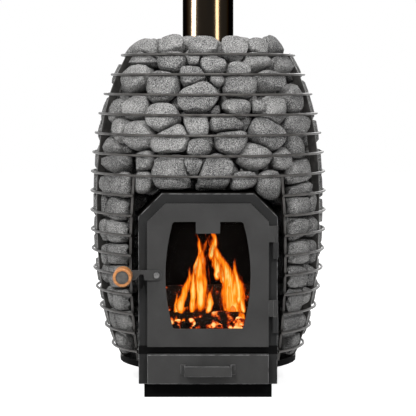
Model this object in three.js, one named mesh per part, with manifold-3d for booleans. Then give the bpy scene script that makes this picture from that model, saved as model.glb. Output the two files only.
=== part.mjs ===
// Wood-burning sauna stove: a barrel cage of wire rings full of stones round a steel firebox.
// Millimetres, +Z up, front towards -Y, origin on the floor under the middle of the cage.
import * as THREE from "three";
import { mergeVertices } from "three/addons/utils/BufferGeometryUtils.js";
import Module from "manifold-3d";

const wasm = await Module();
wasm.setup();

// Clearance
const FIT_GAP = 0.3; // between pieces that seat on, in or against each other

// Plinth and firebox
const PLINTH_HEIGHT = 32;
const PLINTH_WALL = 4;
const PLINTH_INSET = 12; // in from the firebox sides and back
const PLINTH_SETBACK = 13; // behind the front frame
const FIREBOX_SIDE_ROOM = 73; // for stones, out to the lowest ring
const FIREBOX_HEIGHT = 426.5;
const FIREBOX_CHAMFER = 52; // top corners
const FIREBOX_WALL = 6;
const FIREBOX_BACK_ROOM = 103;
const FRAME_PROUD = 8; // front frame ahead of the widest ring

// Inside the firebox
const SHELF_RISE = 62; // ash space under the grate shelf
const SHELF_PLATE = 5;
const GRATE_HALF_WIDTH = 92;
const GRATE_LENGTH = 210;
const GRATE_MID_Y = -92;
const GRATE_DEPTH = 14;
const GRATE_SLOTS = 7;
const GRATE_SLOT_WIDTH = 11;
const GRATE_RIM = 24;
const GRATE_LAP = 8; // grate over the edge of its hole
const BAFFLE_DROP = 62; // below the firebox top
const BAFFLE_PLATE = 5;
const BAFFLE_THROAT = 130; // smoke gap between baffle and front frame
const LOG_RADIUS = 31;
const LOG_LENGTH = 232;
const LOG_SIDES = 8;
const LOG_SPREAD = 72; // between the two logs on the grate

// Flue
const PIPE_RADIUS = 60;
const PIPE_WALL = 2;
const PIPE_LENGTH = 530;
const SPIGOT_WALL = 3;
const SPIGOT_HEIGHT = 50;
const SPIGOT_LEDGE = 4; // pipe rests on it
const SPIGOT_FLANGE = 18;
const SPIGOT_PLATE = 5;
const ROUND_SIDES = 24;

// Cage
const CAGE_RADIUS = 277; // middle of the wire at the belly
const CAGE_TOP_RADIUS = 203.3; // at the top ring
const CAGE_FOOT_RADIUS = 228; // at the lowest ring
const CAGE_CURVE = 2.4; // 2 is an ellipse, more is squarer
const BELLY_RISE = 325; // belly above the lowest ring
const WIRE_RADIUS = 3;
const WIRE_SIDES = 5;
const RING_STEPS = 40; // ribs stand at every fourth corner
const RING_COUNT = 16;
const RING_PITCH = 45.5;
const FULL_RINGS = 7; // those above the firebox go all the way round
const LOWEST_RING_RISE = 25; // above the tray rim
const RIB_DEPTH = 20;
const RIB_PLATE = 5.5;
const RIB_SPACING = 36; // degrees
const FIRST_RIB = 72; // degrees from the front
const RIB_COUNT = 7;
const CURVE_STEPS = 10;
const POST_CLEARANCE = 18.3; // beside the firebox, where the post bows out most
const POST_BOW_RADIUS = 2100;
const POST_BOW_RISE = 240; // height of the widest point above the tray rim

// Stone tray
const TRAY_INSET = 18; // in from the lowest ring
const TRAY_RISE = 13; // above the plinth
const TRAY_PLATE = 4;
const TRAY_RIM_WALL = 3;
const TRAY_RIM_HEIGHT = 11;

// Stones
const COURSES = 8;
const TIERS = ["lower", "middle", "upper", "crown"];
const STONE_WIDTH = 84;
const STONE_FRONT = 28; // from a stone's middle out to the cage
const STONE_BACK = 34;
const STONE_CORE_DEPTH = 33; // packed inner stones start this far behind the cage
const STONE_GAP = 2.5;
const CORE_SIDES = 16;
const STONE_SQUARENESS = 6;
const STONE_JITTER = 0.3;
const HEAP_ROWS = [
  { count: 11, radius: 142, rise: 10, tilt: 42 },
  { count: 7, radius: 92, rise: 20, tilt: 78 },
];
const HEAP_FRONT = 27;
const HEAP_HEIGHT = 47; // above the top ring

// Door
const DOOR_MARGIN = 20; // frame showing beside the door
const DOOR_TOP_MARGIN = 22;
const DOOR_RISE = 85.5; // above the plinth
const DOOR_PROUD = 12; // door face ahead of the frame
const DOOR_PLATE = 5;
const DOOR_RIM = 4;
const DOOR_RIM_DEPTH = 6;
const DOOR_LAP = 22; // door over the edge of its opening
const SEAL_WIDTH = 10;
const WINDOW_MARGIN = 40; // door above and below the window
const WINDOW_SIDE_MARGIN = 56.5;
const WINDOW_BULGE = 15.5;
const WINDOW_CORNER = 7;
const TAB_WIDTH = 54;
const TAB_DROP = 26;
const GLASS_LAP = 10;
const GLASS_PLATE = 4;
const RETAINER_PLATE = 2;

// Hinges
const HINGE_STANDOFF = 14.5; // axis beside the door edge
const HINGE_REACH = 8; // axis ahead of the frame
const HINGE_RADIUS = 6;
const HINGE_HALF = 36; // length of each half
const HINGE_PAD = 8;
const PIN_RADIUS = 3;
const HINGE_SIDES = 16;
const HINGE_SPLITS = { upper: 319, lower: 153 }; // where the halves meet, above the plinth

// Latch
const LATCH_RISE = 246; // pivot above the plinth
const LATCH_INSET = 21; // pivot in from the door edge
const LEVER_PLATE = 5;
const LEVER_HEIGHT = 22;
const LEVER_LENGTH = 74; // pivot to knob
const BOLT_RADIUS = 3.5;
const BOLT_HEAD_RADIUS = 6.5;
const BOLT_HEAD_HEIGHT = 3.5;
const KEEPER_OUTSET = 12; // from the door edge
const KEEPER_PLATE = 5;
const KEEPER_DROP = 30;
const KEEPER_NOSE = 11; // ahead of the lever
const NOTCH_DEPTH = 13;
const NOTCH_SIDE_GAP = 1.8;
const NOTCH_RAMP = 8;
const NOTCH_EASE = 1.2; // clears the keeper as the lever lifts
const KNOB_RADIUS = 21;
const KNOB_LENGTH = 46;
const KNOB_ROUND = 3;
const CAP_RADIUS = 14.2;
const CAP_DEPTH = 2;

// Ash drawer
const DRAWER_HEIGHT = 66;
const DRAWER_PROUD = 20;
const DRAWER_LIFT = 3; // front above the plinth
const DRAWER_WALL = 3;
const DRAWER_LAP = 10; // front over the edge of its opening
const PAN_SIDE_GAP = 4;
const PAN_HEIGHT = 52;
const PAN_LENGTH = 350;
const PAN_WALL = 2.5;
const PULL_LENGTH = 104;
const PULL_HEIGHT = 23;
const PULL_REACH = 30;
const PULL_FOOT = 9;
const PULL_PLATE = 3;

// Places that follow from the sizes above
const fireboxHalf = CAGE_FOOT_RADIUS - FIREBOX_SIDE_ROOM;
const fireboxBack = CAGE_FOOT_RADIUS - FIREBOX_BACK_ROOM;
const trayRadius = CAGE_FOOT_RADIUS - TRAY_INSET;
const frameFace = -(CAGE_RADIUS + FRAME_PROUD);
const frameBack = frameFace + FIREBOX_WALL;
const backFront = fireboxBack - FIREBOX_WALL;
const fireboxTop = PLINTH_HEIGHT + FIREBOX_HEIGHT;
const fireboxInner = fireboxHalf - FIREBOX_WALL;
const floorTop = PLINTH_HEIGHT + FIREBOX_WALL;
const shelfTop = floorTop + SHELF_RISE + SHELF_PLATE;
const grateTop = shelfTop + FIT_GAP + GRATE_DEPTH;
const trayBottom = PLINTH_HEIGHT + TRAY_RISE;
const trayTop = trayBottom + TRAY_PLATE;
const rimTop = trayTop + TRAY_RIM_HEIGHT;
const lowestRing = rimTop + LOWEST_RING_RISE;
const belly = lowestRing + BELLY_RISE;
const topRing = lowestRing + (RING_COUNT - 1) * RING_PITCH;
const spigotInner = PIPE_RADIUS + FIT_GAP;
const spigotOuter = spigotInner + SPIGOT_WALL;
const spigotBottom = fireboxTop + FIT_GAP;
const spigotLedge = spigotBottom + SPIGOT_PLATE + SPIGOT_LEDGE;
const flueHole = PIPE_RADIUS - SPIGOT_LEDGE;
const doorHalf = fireboxHalf - DOOR_MARGIN;
const doorBottom = PLINTH_HEIGHT + DOOR_RISE;
const doorTop = fireboxTop - DOOR_TOP_MARGIN;
const doorFace = frameFace - DOOR_PROUD;
const doorBack = doorFace + DOOR_PLATE;
const hingeX = doorHalf + HINGE_STANDOFF;
const hingeY = frameFace - HINGE_REACH;
const latchX = -(doorHalf - LATCH_INSET);
const latchZ = PLINTH_HEIGHT + LATCH_RISE;
const leverBack = doorFace - FIT_GAP;
const leverFront = leverBack - LEVER_PLATE;
const drawerBottom = PLINTH_HEIGHT + DRAWER_LIFT;
const drawerTop = drawerBottom + DRAWER_HEIGHT;
const drawerFace = frameFace - DRAWER_PROUD;

// Finishes
const finish = (color, roughness, metalness) =>
  new THREE.MeshStandardMaterial({ color, roughness, metalness });
const DOOR_STEEL = () => finish(0x4b4a4c, 0.5, 0.6);
const BODY_STEEL = () => finish(0x3c3b3c, 0.55, 0.6);
const BLACK_STEEL = () => finish(0x141415, 0.6, 0.4);
const CAGE_STEEL = () => finish(0x77736d, 0.45, 0.7);
const BRIGHT_STEEL = () => finish(0xb9b9b8, 0.3, 1);
const FLUE_STEEL = () => finish(0x2b2622, 0.2, 1);
const CAST_IRON = () => finish(0x242424, 0.8, 0.5);
const STONE = () => finish(0x7c7b79, 0.9, 0);
const WOOD = () => finish(0xa8622f, 0.6, 0);
const CHAR = () => finish(0x2c211b, 0.95, 0);
const GLASS = () => finish(0x1c1a19, 0.08, 0);
const ROPE = () => finish(0x5b5852, 0.95, 0);

// Solids
function solidOf(geometry) {
  const bare = new THREE.BufferGeometry();
  bare.setAttribute("position", geometry.getAttribute("position").clone());
  bare.setIndex(geometry.index);
  const merged = mergeVertices(bare, 1e-4);
  const corners = merged.index.array;
  const kept = [];
  for (let i = 0; i < corners.length; i += 3) {
    const [a, b, c] = corners.subarray(i, i + 3);
    if (a !== b && b !== c && c !== a) kept.push(a, b, c);
  }
  const vertProperties = merged.getAttribute("position").array;
  const triVerts = new Uint32Array(kept);
  return new wasm.Manifold(new wasm.Mesh({ numProp: 3, vertProperties, triVerts }));
}

function geometryOf(solid) {
  const mesh = solid.getMesh();
  const geometry = new THREE.BufferGeometry();
  geometry.setAttribute("position", new THREE.BufferAttribute(mesh.vertProperties, 3));
  geometry.setIndex(new THREE.BufferAttribute(mesh.triVerts, 1));
  const flat = geometry.toNonIndexed();
  flat.computeVertexNormals();
  return flat;
}

const join = (...pieces) =>
  geometryOf(pieces.map(solidOf).reduce((whole, piece) => whole.add(piece)));

const cut = (piece, ...tools) =>
  geometryOf(tools.map(solidOf).reduce((rest, tool) => rest.subtract(tool), solidOf(piece)));

const box = ([x0, x1], [y0, y1], [z0, z1]) =>
  new THREE.BoxGeometry(x1 - x0, y1 - y0, z1 - z0).translate(
    (x0 + x1) / 2,
    (y0 + y1) / 2,
    (z0 + z1) / 2,
  );

const prism = (shape, depth) =>
  new THREE.ExtrudeGeometry(shape, { depth, bevelEnabled: false, curveSegments: CURVE_STEPS });

// Outline in x and z, from y = front to y = back.
const slabY = (shape, front, back) =>
  prism(shape, back - front)
    .rotateX(Math.PI / 2)
    .translate(0, back, 0);

// Outline in y and z, from x = left to x = right.
const slabX = (shape, left, right) =>
  prism(shape, right - left)
    .rotateX(Math.PI / 2)
    .rotateZ(Math.PI / 2)
    .translate(left, 0, 0);

// Outline in x and y, from z = bottom to z = top.
const slabZ = (shape, bottom, top) => prism(shape, top - bottom).translate(0, 0, bottom);

const polygon = (points) => new THREE.Shape(points.map(([x, y]) => new THREE.Vector2(x, y)));

// Profile of radius and height turned about the Z axis, anticlockwise with radius to the right.
function turned(profile, sides = ROUND_SIDES) {
  const points = [...profile, profile[0]].map(([r, h]) => new THREE.Vector2(r, h));
  return geometryOf(solidOf(new THREE.LatheGeometry(points, sides).rotateX(Math.PI / 2)));
}

const rod = (radius, bottom, top, sides = ROUND_SIDES) =>
  new THREE.CylinderGeometry(radius, radius, top - bottom, sides)
    .rotateX(Math.PI / 2)
    .translate(0, 0, (bottom + top) / 2);

// Chamfer of an outline set in evenly from one with the given chamfer.
const insetChamfer = (chamfer, inset) => chamfer - inset * (2 - Math.SQRT2);

function archOutline(half, bottom, top, chamfer) {
  return polygon([
    [-half, bottom],
    [half, bottom],
    [half, top - chamfer],
    [half - chamfer, top],
    [chamfer - half, top],
    [-half, top - chamfer],
  ]);
}

const rectangle = (half, bottom, top) =>
  polygon([
    [-half, bottom],
    [half, bottom],
    [half, top],
    [-half, top],
  ]);

function ring(outer, inner, front, back) {
  outer.holes.push(inner);
  return slabY(outer, front, back);
}

// Groups: each moving one stands on its joint's axis, and its meshes are set back by as much.
const stove = new THREE.Group();
stove.name = "sauna_stove";

function movingGroup(parent, name, origin) {
  const group = new THREE.Group();
  group.name = name;
  group.userData.origin = origin;
  group.position.copy(origin).sub(parent.userData.origin);
  parent.add(group);
  return group;
}

function add(group, name, geometry, material) {
  const mesh = new THREE.Mesh(geometry, material);
  mesh.name = name;
  mesh.position.copy(group.userData.origin).negate();
  group.add(mesh);
  return mesh;
}

stove.userData.origin = new THREE.Vector3();
const cage = movingGroup(stove, "cage", new THREE.Vector3());
const stones = movingGroup(stove, "stones", new THREE.Vector3());
const fire = movingGroup(stove, "fire", new THREE.Vector3());
const door = movingGroup(stove, "door", new THREE.Vector3(hingeX, hingeY, 0));
const handle = movingGroup(door, "handle", new THREE.Vector3(latchX, leverBack, latchZ));
const drawer = movingGroup(stove, "drawer", new THREE.Vector3(0, frameFace, 0));

// Plinth: an open-topped tray that the firebox stands on
const plinthHalf = fireboxHalf - PLINTH_INSET;
const plinthSpan = [frameFace + PLINTH_SETBACK, fireboxBack - PLINTH_INSET];
add(
  stove,
  "base_plinth",
  cut(
    box([-plinthHalf, plinthHalf], plinthSpan, [0, PLINTH_HEIGHT]),
    box(
      [PLINTH_WALL - plinthHalf, plinthHalf - PLINTH_WALL],
      [plinthSpan[0] + PLINTH_WALL, plinthSpan[1] - PLINTH_WALL],
      [PLINTH_WALL, PLINTH_HEIGHT + 1],
    ),
  ),
  BLACK_STEEL(),
);

// Firebox
const fireboxOutline = (grow = 0) =>
  archOutline(
    fireboxHalf + grow,
    PLINTH_HEIGHT - Math.max(grow, 0),
    fireboxTop + grow,
    insetChamfer(FIREBOX_CHAMFER, -grow),
  );

add(
  stove,
  "firebox_shell",
  cut(
    ring(
      fireboxOutline(),
      archOutline(
        fireboxInner,
        floorTop,
        fireboxTop - FIREBOX_WALL,
        insetChamfer(FIREBOX_CHAMFER, FIREBOX_WALL),
      ),
      frameBack,
      backFront,
    ),
    rod(flueHole, fireboxTop - 2 * FIREBOX_WALL, fireboxTop + 1),
  ),
  BODY_STEEL(),
);
add(stove, "firebox_back", slabY(fireboxOutline(), backFront, fireboxBack), BODY_STEEL());

const doorOutline = (inset) =>
  archOutline(
    doorHalf - inset,
    doorBottom + inset,
    doorTop - inset,
    insetChamfer(FIREBOX_CHAMFER, DOOR_MARGIN + inset),
  );
const drawerHole = doorHalf - DRAWER_LAP;

const framePlate = fireboxOutline();
framePlate.holes.push(doorOutline(DOOR_LAP), rectangle(drawerHole, floorTop, drawerTop - DRAWER_WALL * 2));
add(stove, "front_frame", slabY(framePlate, frameFace, frameBack), BODY_STEEL());

// Grate shelf: a channel that spans the ash space
const shelfHalf = fireboxInner - FIT_GAP;
const shelfSpan = [frameBack + FIT_GAP, backFront - FIT_GAP];
const grateSpan = [GRATE_MID_Y - GRATE_LENGTH / 2, GRATE_MID_Y + GRATE_LENGTH / 2];
const grateHole = [grateSpan[0] + GRATE_LAP, grateSpan[1] - GRATE_LAP];
add(
  stove,
  "grate_shelf",
  cut(
    box([-shelfHalf, shelfHalf], shelfSpan, [floorTop + FIT_GAP, shelfTop]),
    box(
      [SHELF_PLATE - shelfHalf, shelfHalf - SHELF_PLATE],
      [shelfSpan[0] - 1, shelfSpan[1] + 1],
      [floorTop, shelfTop - SHELF_PLATE],
    ),
    box([GRATE_LAP - GRATE_HALF_WIDTH, GRATE_HALF_WIDTH - GRATE_LAP], grateHole, [floorTop, shelfTop + 1]),
  ),
  BODY_STEEL(),
);

const slotPitch = (2 * (GRATE_HALF_WIDTH - GRATE_RIM)) / (GRATE_SLOTS - 1);
const grateSlots = Array.from({ length: GRATE_SLOTS }, (_, i) => {
  const x = GRATE_RIM - GRATE_HALF_WIDTH + i * slotPitch;
  return box(
    [x - GRATE_SLOT_WIDTH / 2, x + GRATE_SLOT_WIDTH / 2],
    [grateSpan[0] + GRATE_RIM, grateSpan[1] - GRATE_RIM],
    [shelfTop, grateTop + 1],
  );
});
add(
  stove,
  "fire_grate",
  cut(
    box([-GRATE_HALF_WIDTH, GRATE_HALF_WIDTH], grateSpan, [shelfTop + FIT_GAP, grateTop]),
    ...grateSlots,
  ),
  CAST_IRON(),
);

const baffleTop = fireboxTop - BAFFLE_DROP;
add(
  stove,
  "smoke_baffle",
  box(
    [-shelfHalf, shelfHalf],
    [frameBack + BAFFLE_THROAT, backFront - FIT_GAP],
    [baffleTop - BAFFLE_PLATE, baffleTop],
  ),
  BODY_STEEL(),
);

// Logs: two on the grate and one across them
const logFlat = LOG_RADIUS * Math.cos(Math.PI / LOG_SIDES);
function log(name, y, z, yaw) {
  const geometry = new THREE.CylinderGeometry(LOG_RADIUS, LOG_RADIUS, LOG_LENGTH, LOG_SIDES)
    .rotateY(Math.PI / LOG_SIDES)
    .rotateZ(Math.PI / 2)
    .rotateX(Math.PI / 2);
  const mesh = add(fire, name, geometry, CHAR());
  mesh.position.set(0, y, z);
  mesh.rotation.z = THREE.MathUtils.degToRad(yaw);
}
const logSeat = grateTop + FIT_GAP + logFlat;
log("log_front", GRATE_MID_Y - LOG_SPREAD / 2, logSeat, 2);
log("log_back", GRATE_MID_Y + LOG_SPREAD / 2, logSeat, -2);
log("log_top", GRATE_MID_Y, logSeat + 2 * logFlat + FIT_GAP, 9);

// Flue
add(
  stove,
  "flue_spigot",
  turned([
    [flueHole, spigotBottom],
    [spigotOuter + SPIGOT_FLANGE, spigotBottom],
    [spigotOuter + SPIGOT_FLANGE, spigotBottom + SPIGOT_PLATE],
    [spigotOuter, spigotBottom + SPIGOT_PLATE],
    [spigotOuter, spigotLedge + SPIGOT_HEIGHT],
    [spigotInner, spigotLedge + SPIGOT_HEIGHT],
    [spigotInner, spigotLedge],
    [flueHole, spigotLedge],
  ]),
  BODY_STEEL(),
);
const pipeBottom = spigotLedge + FIT_GAP;
add(
  stove,
  "flue_pipe",
  turned([
    [PIPE_RADIUS - PIPE_WALL, pipeBottom],
    [PIPE_RADIUS, pipeBottom],
    [PIPE_RADIUS, pipeBottom + PIPE_LENGTH],
    [PIPE_RADIUS - PIPE_WALL, pipeBottom + PIPE_LENGTH],
  ]),
  FLUE_STEEL(),
);

// Cage curve, through the top ring, the belly and the lowest ring
const curveReach = (radius, height) =>
  height / (1 - (radius / CAGE_RADIUS) ** CAGE_CURVE) ** (1 / CAGE_CURVE);
const cageRise = curveReach(CAGE_TOP_RADIUS, topRing - belly);
const cageDrop = curveReach(CAGE_FOOT_RADIUS, belly - lowestRing);

function ringRadius(z) {
  const reach = z > belly ? cageRise : cageDrop;
  const share = Math.abs(z - belly) / reach;
  return CAGE_RADIUS * (1 - share ** CAGE_CURVE) ** (1 / CAGE_CURVE);
}

// Round limit that stays inside the flats of a ring at any height.
const cageInside = (z) =>
  (ringRadius(z) - WIRE_RADIUS) * Math.cos(Math.PI / RING_STEPS) - FIT_GAP;

// A rib's outer edge meets a ring at one of its corners.
const ribOuter = (z) =>
  ringRadius(z) - WIRE_RADIUS - (RIB_PLATE / 2) * Math.tan(Math.PI / RING_STEPS) - FIT_GAP;

const ringHeight = (number) => lowestRing + (RING_COUNT - number) * RING_PITCH;
const postTop = ringHeight(FULL_RINGS) + WIRE_RADIUS;
const postFoot = rimTop + FIT_GAP;

function postX(z) {
  const widest = fireboxHalf + POST_CLEARANCE + RIB_PLATE / 2;
  return widest - (z - rimTop - POST_BOW_RISE) ** 2 / (2 * POST_BOW_RADIUS);
}

// Strip RIB_DEPTH deep behind an outer edge, with a corner at every ring it carries up to topmost.
function stripOutline(outerEdge, topmost) {
  const heights = [postFoot];
  for (let number = RING_COUNT; number >= topmost; number--) heights.push(ringHeight(number));
  heights.push(ringHeight(topmost) + WIRE_RADIUS);
  const outer = heights.map((z) => [outerEdge(z), z]);
  const inner = heights.map((z) => [outerEdge(z) - RIB_DEPTH, z]);
  return polygon([...outer, ...inner.reverse()]);
}

// Rings, numbered from the top
for (let number = 1; number <= RING_COUNT; number++) {
  const z = ringHeight(number);
  const radius = ringRadius(z);
  const hoop = new THREE.TorusGeometry(radius, WIRE_RADIUS, WIRE_SIDES, RING_STEPS).translate(0, 0, z);
  const mouth = postX(z) - RIB_PLATE / 2;
  const opening = box(
    [-mouth, mouth],
    [-radius - 2 * WIRE_RADIUS, 0],
    [z - 2 * WIRE_RADIUS, z + 2 * WIRE_RADIUS],
  );
  const shape = number > FULL_RINGS ? cut(hoop, opening) : hoop;
  add(cage, "cage_ring_" + String(number).padStart(2, "0"), shape, CAGE_STEEL());
}

// Ribs, numbered round from the right
const ribAzimuth = (index) => FIRST_RIB + index * RIB_SPACING;
const ribShape = stripOutline(ribOuter, 1);
for (let index = 0; index < RIB_COUNT; index++) {
  const strip = slabY(ribShape, -RIB_PLATE / 2, RIB_PLATE / 2);
  const mesh = add(cage, "cage_rib_" + (index + 1), strip, CAGE_STEEL());
  mesh.rotation.z = THREE.MathUtils.degToRad(ribAzimuth(index) - 90);
}

// Posts beside the firebox, bowed sideways with the cage
for (const [side, sign] of [["left", -1], ["right", 1]]) {
  const edge = (z) => Math.sqrt(cageInside(z) ** 2 - (postX(z) + RIB_PLATE / 2) ** 2);
  const strip = slabX(stripOutline(edge, FULL_RINGS), -RIB_PLATE / 2, RIB_PLATE / 2);
  strip.scale(1, -1, 1).scale(-1, 1, 1);
  const points = strip.getAttribute("position");
  for (let i = 0; i < points.count; i++) {
    points.setX(i, points.getX(i) + sign * postX(points.getZ(i)));
  }
  add(cage, "cage_post_" + side, strip, CAGE_STEEL());
}

// Stone tray, open at the front where the firebox passes through it
const fireboxBlock = (grow) =>
  slabY(fireboxOutline(grow), frameFace - CAGE_RADIUS, fireboxBack + grow);
add(
  stove,
  "stone_tray",
  cut(
    turned(
      [
        [flueHole, trayBottom],
        [trayRadius, trayBottom],
        [trayRadius, rimTop],
        [trayRadius - TRAY_RIM_WALL, rimTop],
        [trayRadius - TRAY_RIM_WALL, trayTop],
        [flueHole, trayTop],
      ],
      RING_STEPS,
    ),
    fireboxBlock(FIT_GAP),
  ),
  BLACK_STEEL(),
);

// Stones: each is a rounded block inside the flat walls between it and its neighbours
const courseHeight = (topRing - rimTop) / COURSES;
const courseBottom = (course) => rimTop + course * courseHeight;
const ribWall = RIB_PLATE / 2 + FIT_GAP;
const girth = (z) => cageInside(z) - STONE_FRONT; // where the stones' middles stand
const postInnerWall = Math.min(postX(postTop), postX(fireboxTop)) - ribWall;
const frontOf = (azimuth) => {
  const a = THREE.MathUtils.degToRad(azimuth);
  return new THREE.Vector3(Math.sin(a), -Math.cos(a), 0);
};
const scatter = (n) => {
  const wave = Math.sin(n * 12.9898) * 43758.5453;
  return wave - Math.floor(wave) - 0.5;
};

// A wall keeps what lies on its normal's side out: normal . point <= limit.
const wall = (x, y, z, limit) => ({ normal: new THREE.Vector3(x, y, z), limit });
const afterRib = (azimuth) => {
  const along = frontOf(azimuth + 90).negate();
  return { normal: along, limit: -ribWall };
};
const beforeRib = (azimuth) => ({ normal: frontOf(azimuth + 90), limit: -ribWall });

// Bays between uprights, as azimuths in degrees and the walls of the uprights.
function bays(course) {
  const azimuths = Array.from({ length: RIB_COUNT }, (_, i) => ribAzimuth(i));
  const last = azimuths[RIB_COUNT - 1];
  const list = azimuths.slice(1).map((to, i) => ({
    from: azimuths[i],
    to,
    walls: [afterRib(azimuths[i]), beforeRib(to)],
  }));
  const middle = courseBottom(course) + courseHeight / 2;
  if (middle > postTop) {
    list.push({ from: last - 360, to: azimuths[0], walls: [afterRib(last), beforeRib(azimuths[0])] });
    return list;
  }
  const widest = THREE.MathUtils.clamp(rimTop + POST_BOW_RISE, courseBottom(course), courseBottom(course + 1));
  const beside = postX(widest) + ribWall;
  const edge = THREE.MathUtils.radToDeg(Math.asin(beside / girth(middle)));
  list.push({ from: edge, to: azimuths[0], walls: [wall(-1, 0, 0, -beside), beforeRib(azimuths[0])] });
  list.push({ from: last, to: 360 - edge, walls: [afterRib(last), wall(1, 0, 0, -beside)] });
  if (courseBottom(course + 1) > fireboxTop + STONE_FRONT) {
    const span = THREE.MathUtils.radToDeg(Math.asin(postInnerWall / girth(fireboxTop)));
    const walls = [
      wall(1, 0, 0, postInnerWall),
      wall(-1, 0, 0, postInnerWall),
      wall(0, 0, -1, -fireboxTop - STONE_GAP),
    ];
    list.push({ from: -span, to: span, walls, bottom: fireboxTop });
  }
  return list;
}

// Stones standing against the cage, in one course.
function courseStones(course) {
  const found = [];
  for (const bay of bays(course)) {
    const bottom = bay.bottom ?? courseBottom(course);
    const middle = (bottom + courseBottom(course + 1)) / 2;
    const arc = THREE.MathUtils.degToRad(bay.to - bay.from) * girth(middle);
    const count = Math.max(1, Math.round(arc / STONE_WIDTH));
    for (let i = 0; i < count; i++) {
      const key = 97 * course + 7.3 * bay.from + i;
      const azimuth = bay.from + ((i + 0.5 + STONE_JITTER * scatter(key)) / count) * (bay.to - bay.from);
      const z = middle + STONE_JITTER * scatter(key + 0.37) * (courseBottom(course + 1) - bottom);
      const slope = ringRadius(z + 1) - ringRadius(z);
      const out = frontOf(azimuth);
      const normal = out.clone().setZ(-slope).normalize();
      const skin = out.multiplyScalar(cageInside(z)).setZ(z);
      const centre = skin.clone().addScaledVector(normal, -STONE_FRONT);
      found.push({ centre, normal, front: STONE_FRONT, walls: bay.walls });
    }
  }
  return found;
}

// Stones heaped above the top ring, round the flue and inside the tops of the ribs.
const heapEdge = ribOuter(topRing) - RIB_DEPTH - STONE_GAP;
function heapStones() {
  return HEAP_ROWS.flatMap(({ count, radius, rise, tilt }) =>
    Array.from({ length: count }, (_, i) => {
      const azimuth = ((i + STONE_JITTER * scatter(radius + i)) / count) * 360;
      const lift = THREE.MathUtils.degToRad(tilt);
      const centre = frontOf(azimuth).multiplyScalar(radius).setZ(topRing + rise);
      const normal = frontOf(azimuth).multiplyScalar(Math.cos(lift)).setZ(Math.sin(lift));
      const walls = [{ normal: frontOf(azimuth), limit: heapEdge }];
      return { centre, normal, front: HEAP_FRONT, walls };
    }),
  );
}

// Reach of a stone along a direction: smooth and short of every wall.
function reach(direction, walls) {
  let sum = 0;
  for (const { normal, distance } of walls) {
    sum += (Math.max(0, direction.dot(normal)) / distance) ** STONE_SQUARENESS;
  }
  return sum ** (-1 / STONE_SQUARENESS);
}

function stoneBody(stone, neighbours, tierWalls) {
  const walls = [
    { normal: stone.normal, distance: stone.front },
    { normal: stone.normal.clone().negate(), distance: STONE_BACK },
  ];
  for (const other of neighbours) {
    const normal = other.centre.clone().sub(stone.centre);
    const distance = normal.length() / 2 - STONE_GAP / 2;
    if (other !== stone) walls.push({ normal: normal.normalize(), distance });
  }
  for (const { normal, limit } of [...tierWalls, ...stone.walls]) {
    walls.push({ normal, distance: Math.max(limit - normal.dot(stone.centre), STONE_GAP) });
  }
  const upright = new THREE.Vector3(0, 1, 0);
  const geometry = new THREE.IcosahedronGeometry(1, 0).applyQuaternion(
    new THREE.Quaternion().setFromUnitVectors(upright, stone.normal),
  );
  const points = geometry.getAttribute("position");
  const point = new THREE.Vector3();
  for (let i = 0; i < points.count; i++) {
    point.fromBufferAttribute(points, i).normalize();
    point.multiplyScalar(reach(point, walls)).add(stone.centre);
    const most = cageInside(point.z);
    const radius = Math.hypot(point.x, point.y);
    if (radius > most) point.set((point.x * most) / radius, (point.y * most) / radius, point.z);
    points.setXYZ(i, point.x, point.y, point.z);
  }
  return geometry;
}

// Packed stones behind the outer ones, round the flue.
function coreBody(bottom, top, heaped) {
  const outer = [];
  for (let i = 0; i <= 2; i++) {
    const z = bottom + ((top - bottom) * i) / 2;
    outer.push([cageInside(z) - STONE_CORE_DEPTH, z]);
  }
  const inner = spigotOuter + SPIGOT_FLANGE + STONE_GAP;
  const peak = heaped ? [[(inner + outer[2][0]) / 2, top + HEAP_ROWS[1].rise]] : [];
  const lip = heaped ? top + HEAP_ROWS[1].rise : top;
  return turned([[PIPE_RADIUS / 2, bottom], ...outer, ...peak, [PIPE_RADIUS / 2, lip]], CORE_SIDES);
}

const flueBlock = () => [
  rod(PIPE_RADIUS + STONE_GAP, fireboxTop, pipeBottom + PIPE_LENGTH),
  rod(spigotOuter + STONE_GAP, fireboxTop, spigotLedge + SPIGOT_HEIGHT + STONE_GAP),
  rod(spigotOuter + SPIGOT_FLANGE + STONE_GAP, fireboxTop, spigotBottom + SPIGOT_PLATE + STONE_GAP),
];

const coursesPerTier = COURSES / TIERS.length;
TIERS.forEach((tier, index) => {
  const first = index * coursesPerTier;
  const heaped = index === TIERS.length - 1;
  const bottom = courseBottom(first);
  const top = courseBottom(first + coursesPerTier);
  const members = [];
  for (let course = first; course < first + coursesPerTier; course++) {
    members.push(...courseStones(course));
  }
  if (heaped) members.push(...heapStones());
  const tierWalls = [wall(0, 0, -1, -bottom - FIT_GAP)];
  tierWalls.push(wall(0, 0, 1, heaped ? top + HEAP_HEIGHT : top - FIT_GAP));
  const coreBottom = index === 0 ? trayTop + FIT_GAP : bottom + FIT_GAP;
  const core = coreBody(coreBottom, heaped ? top : top - FIT_GAP, heaped);
  const bodies = members.map((stone) => stoneBody(stone, members, tierWalls));
  const pile = cut(join(core, ...bodies), fireboxBlock(FIT_GAP), ...flueBlock());
  add(stones, "stones_" + tier, pile, STONE());
});

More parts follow.
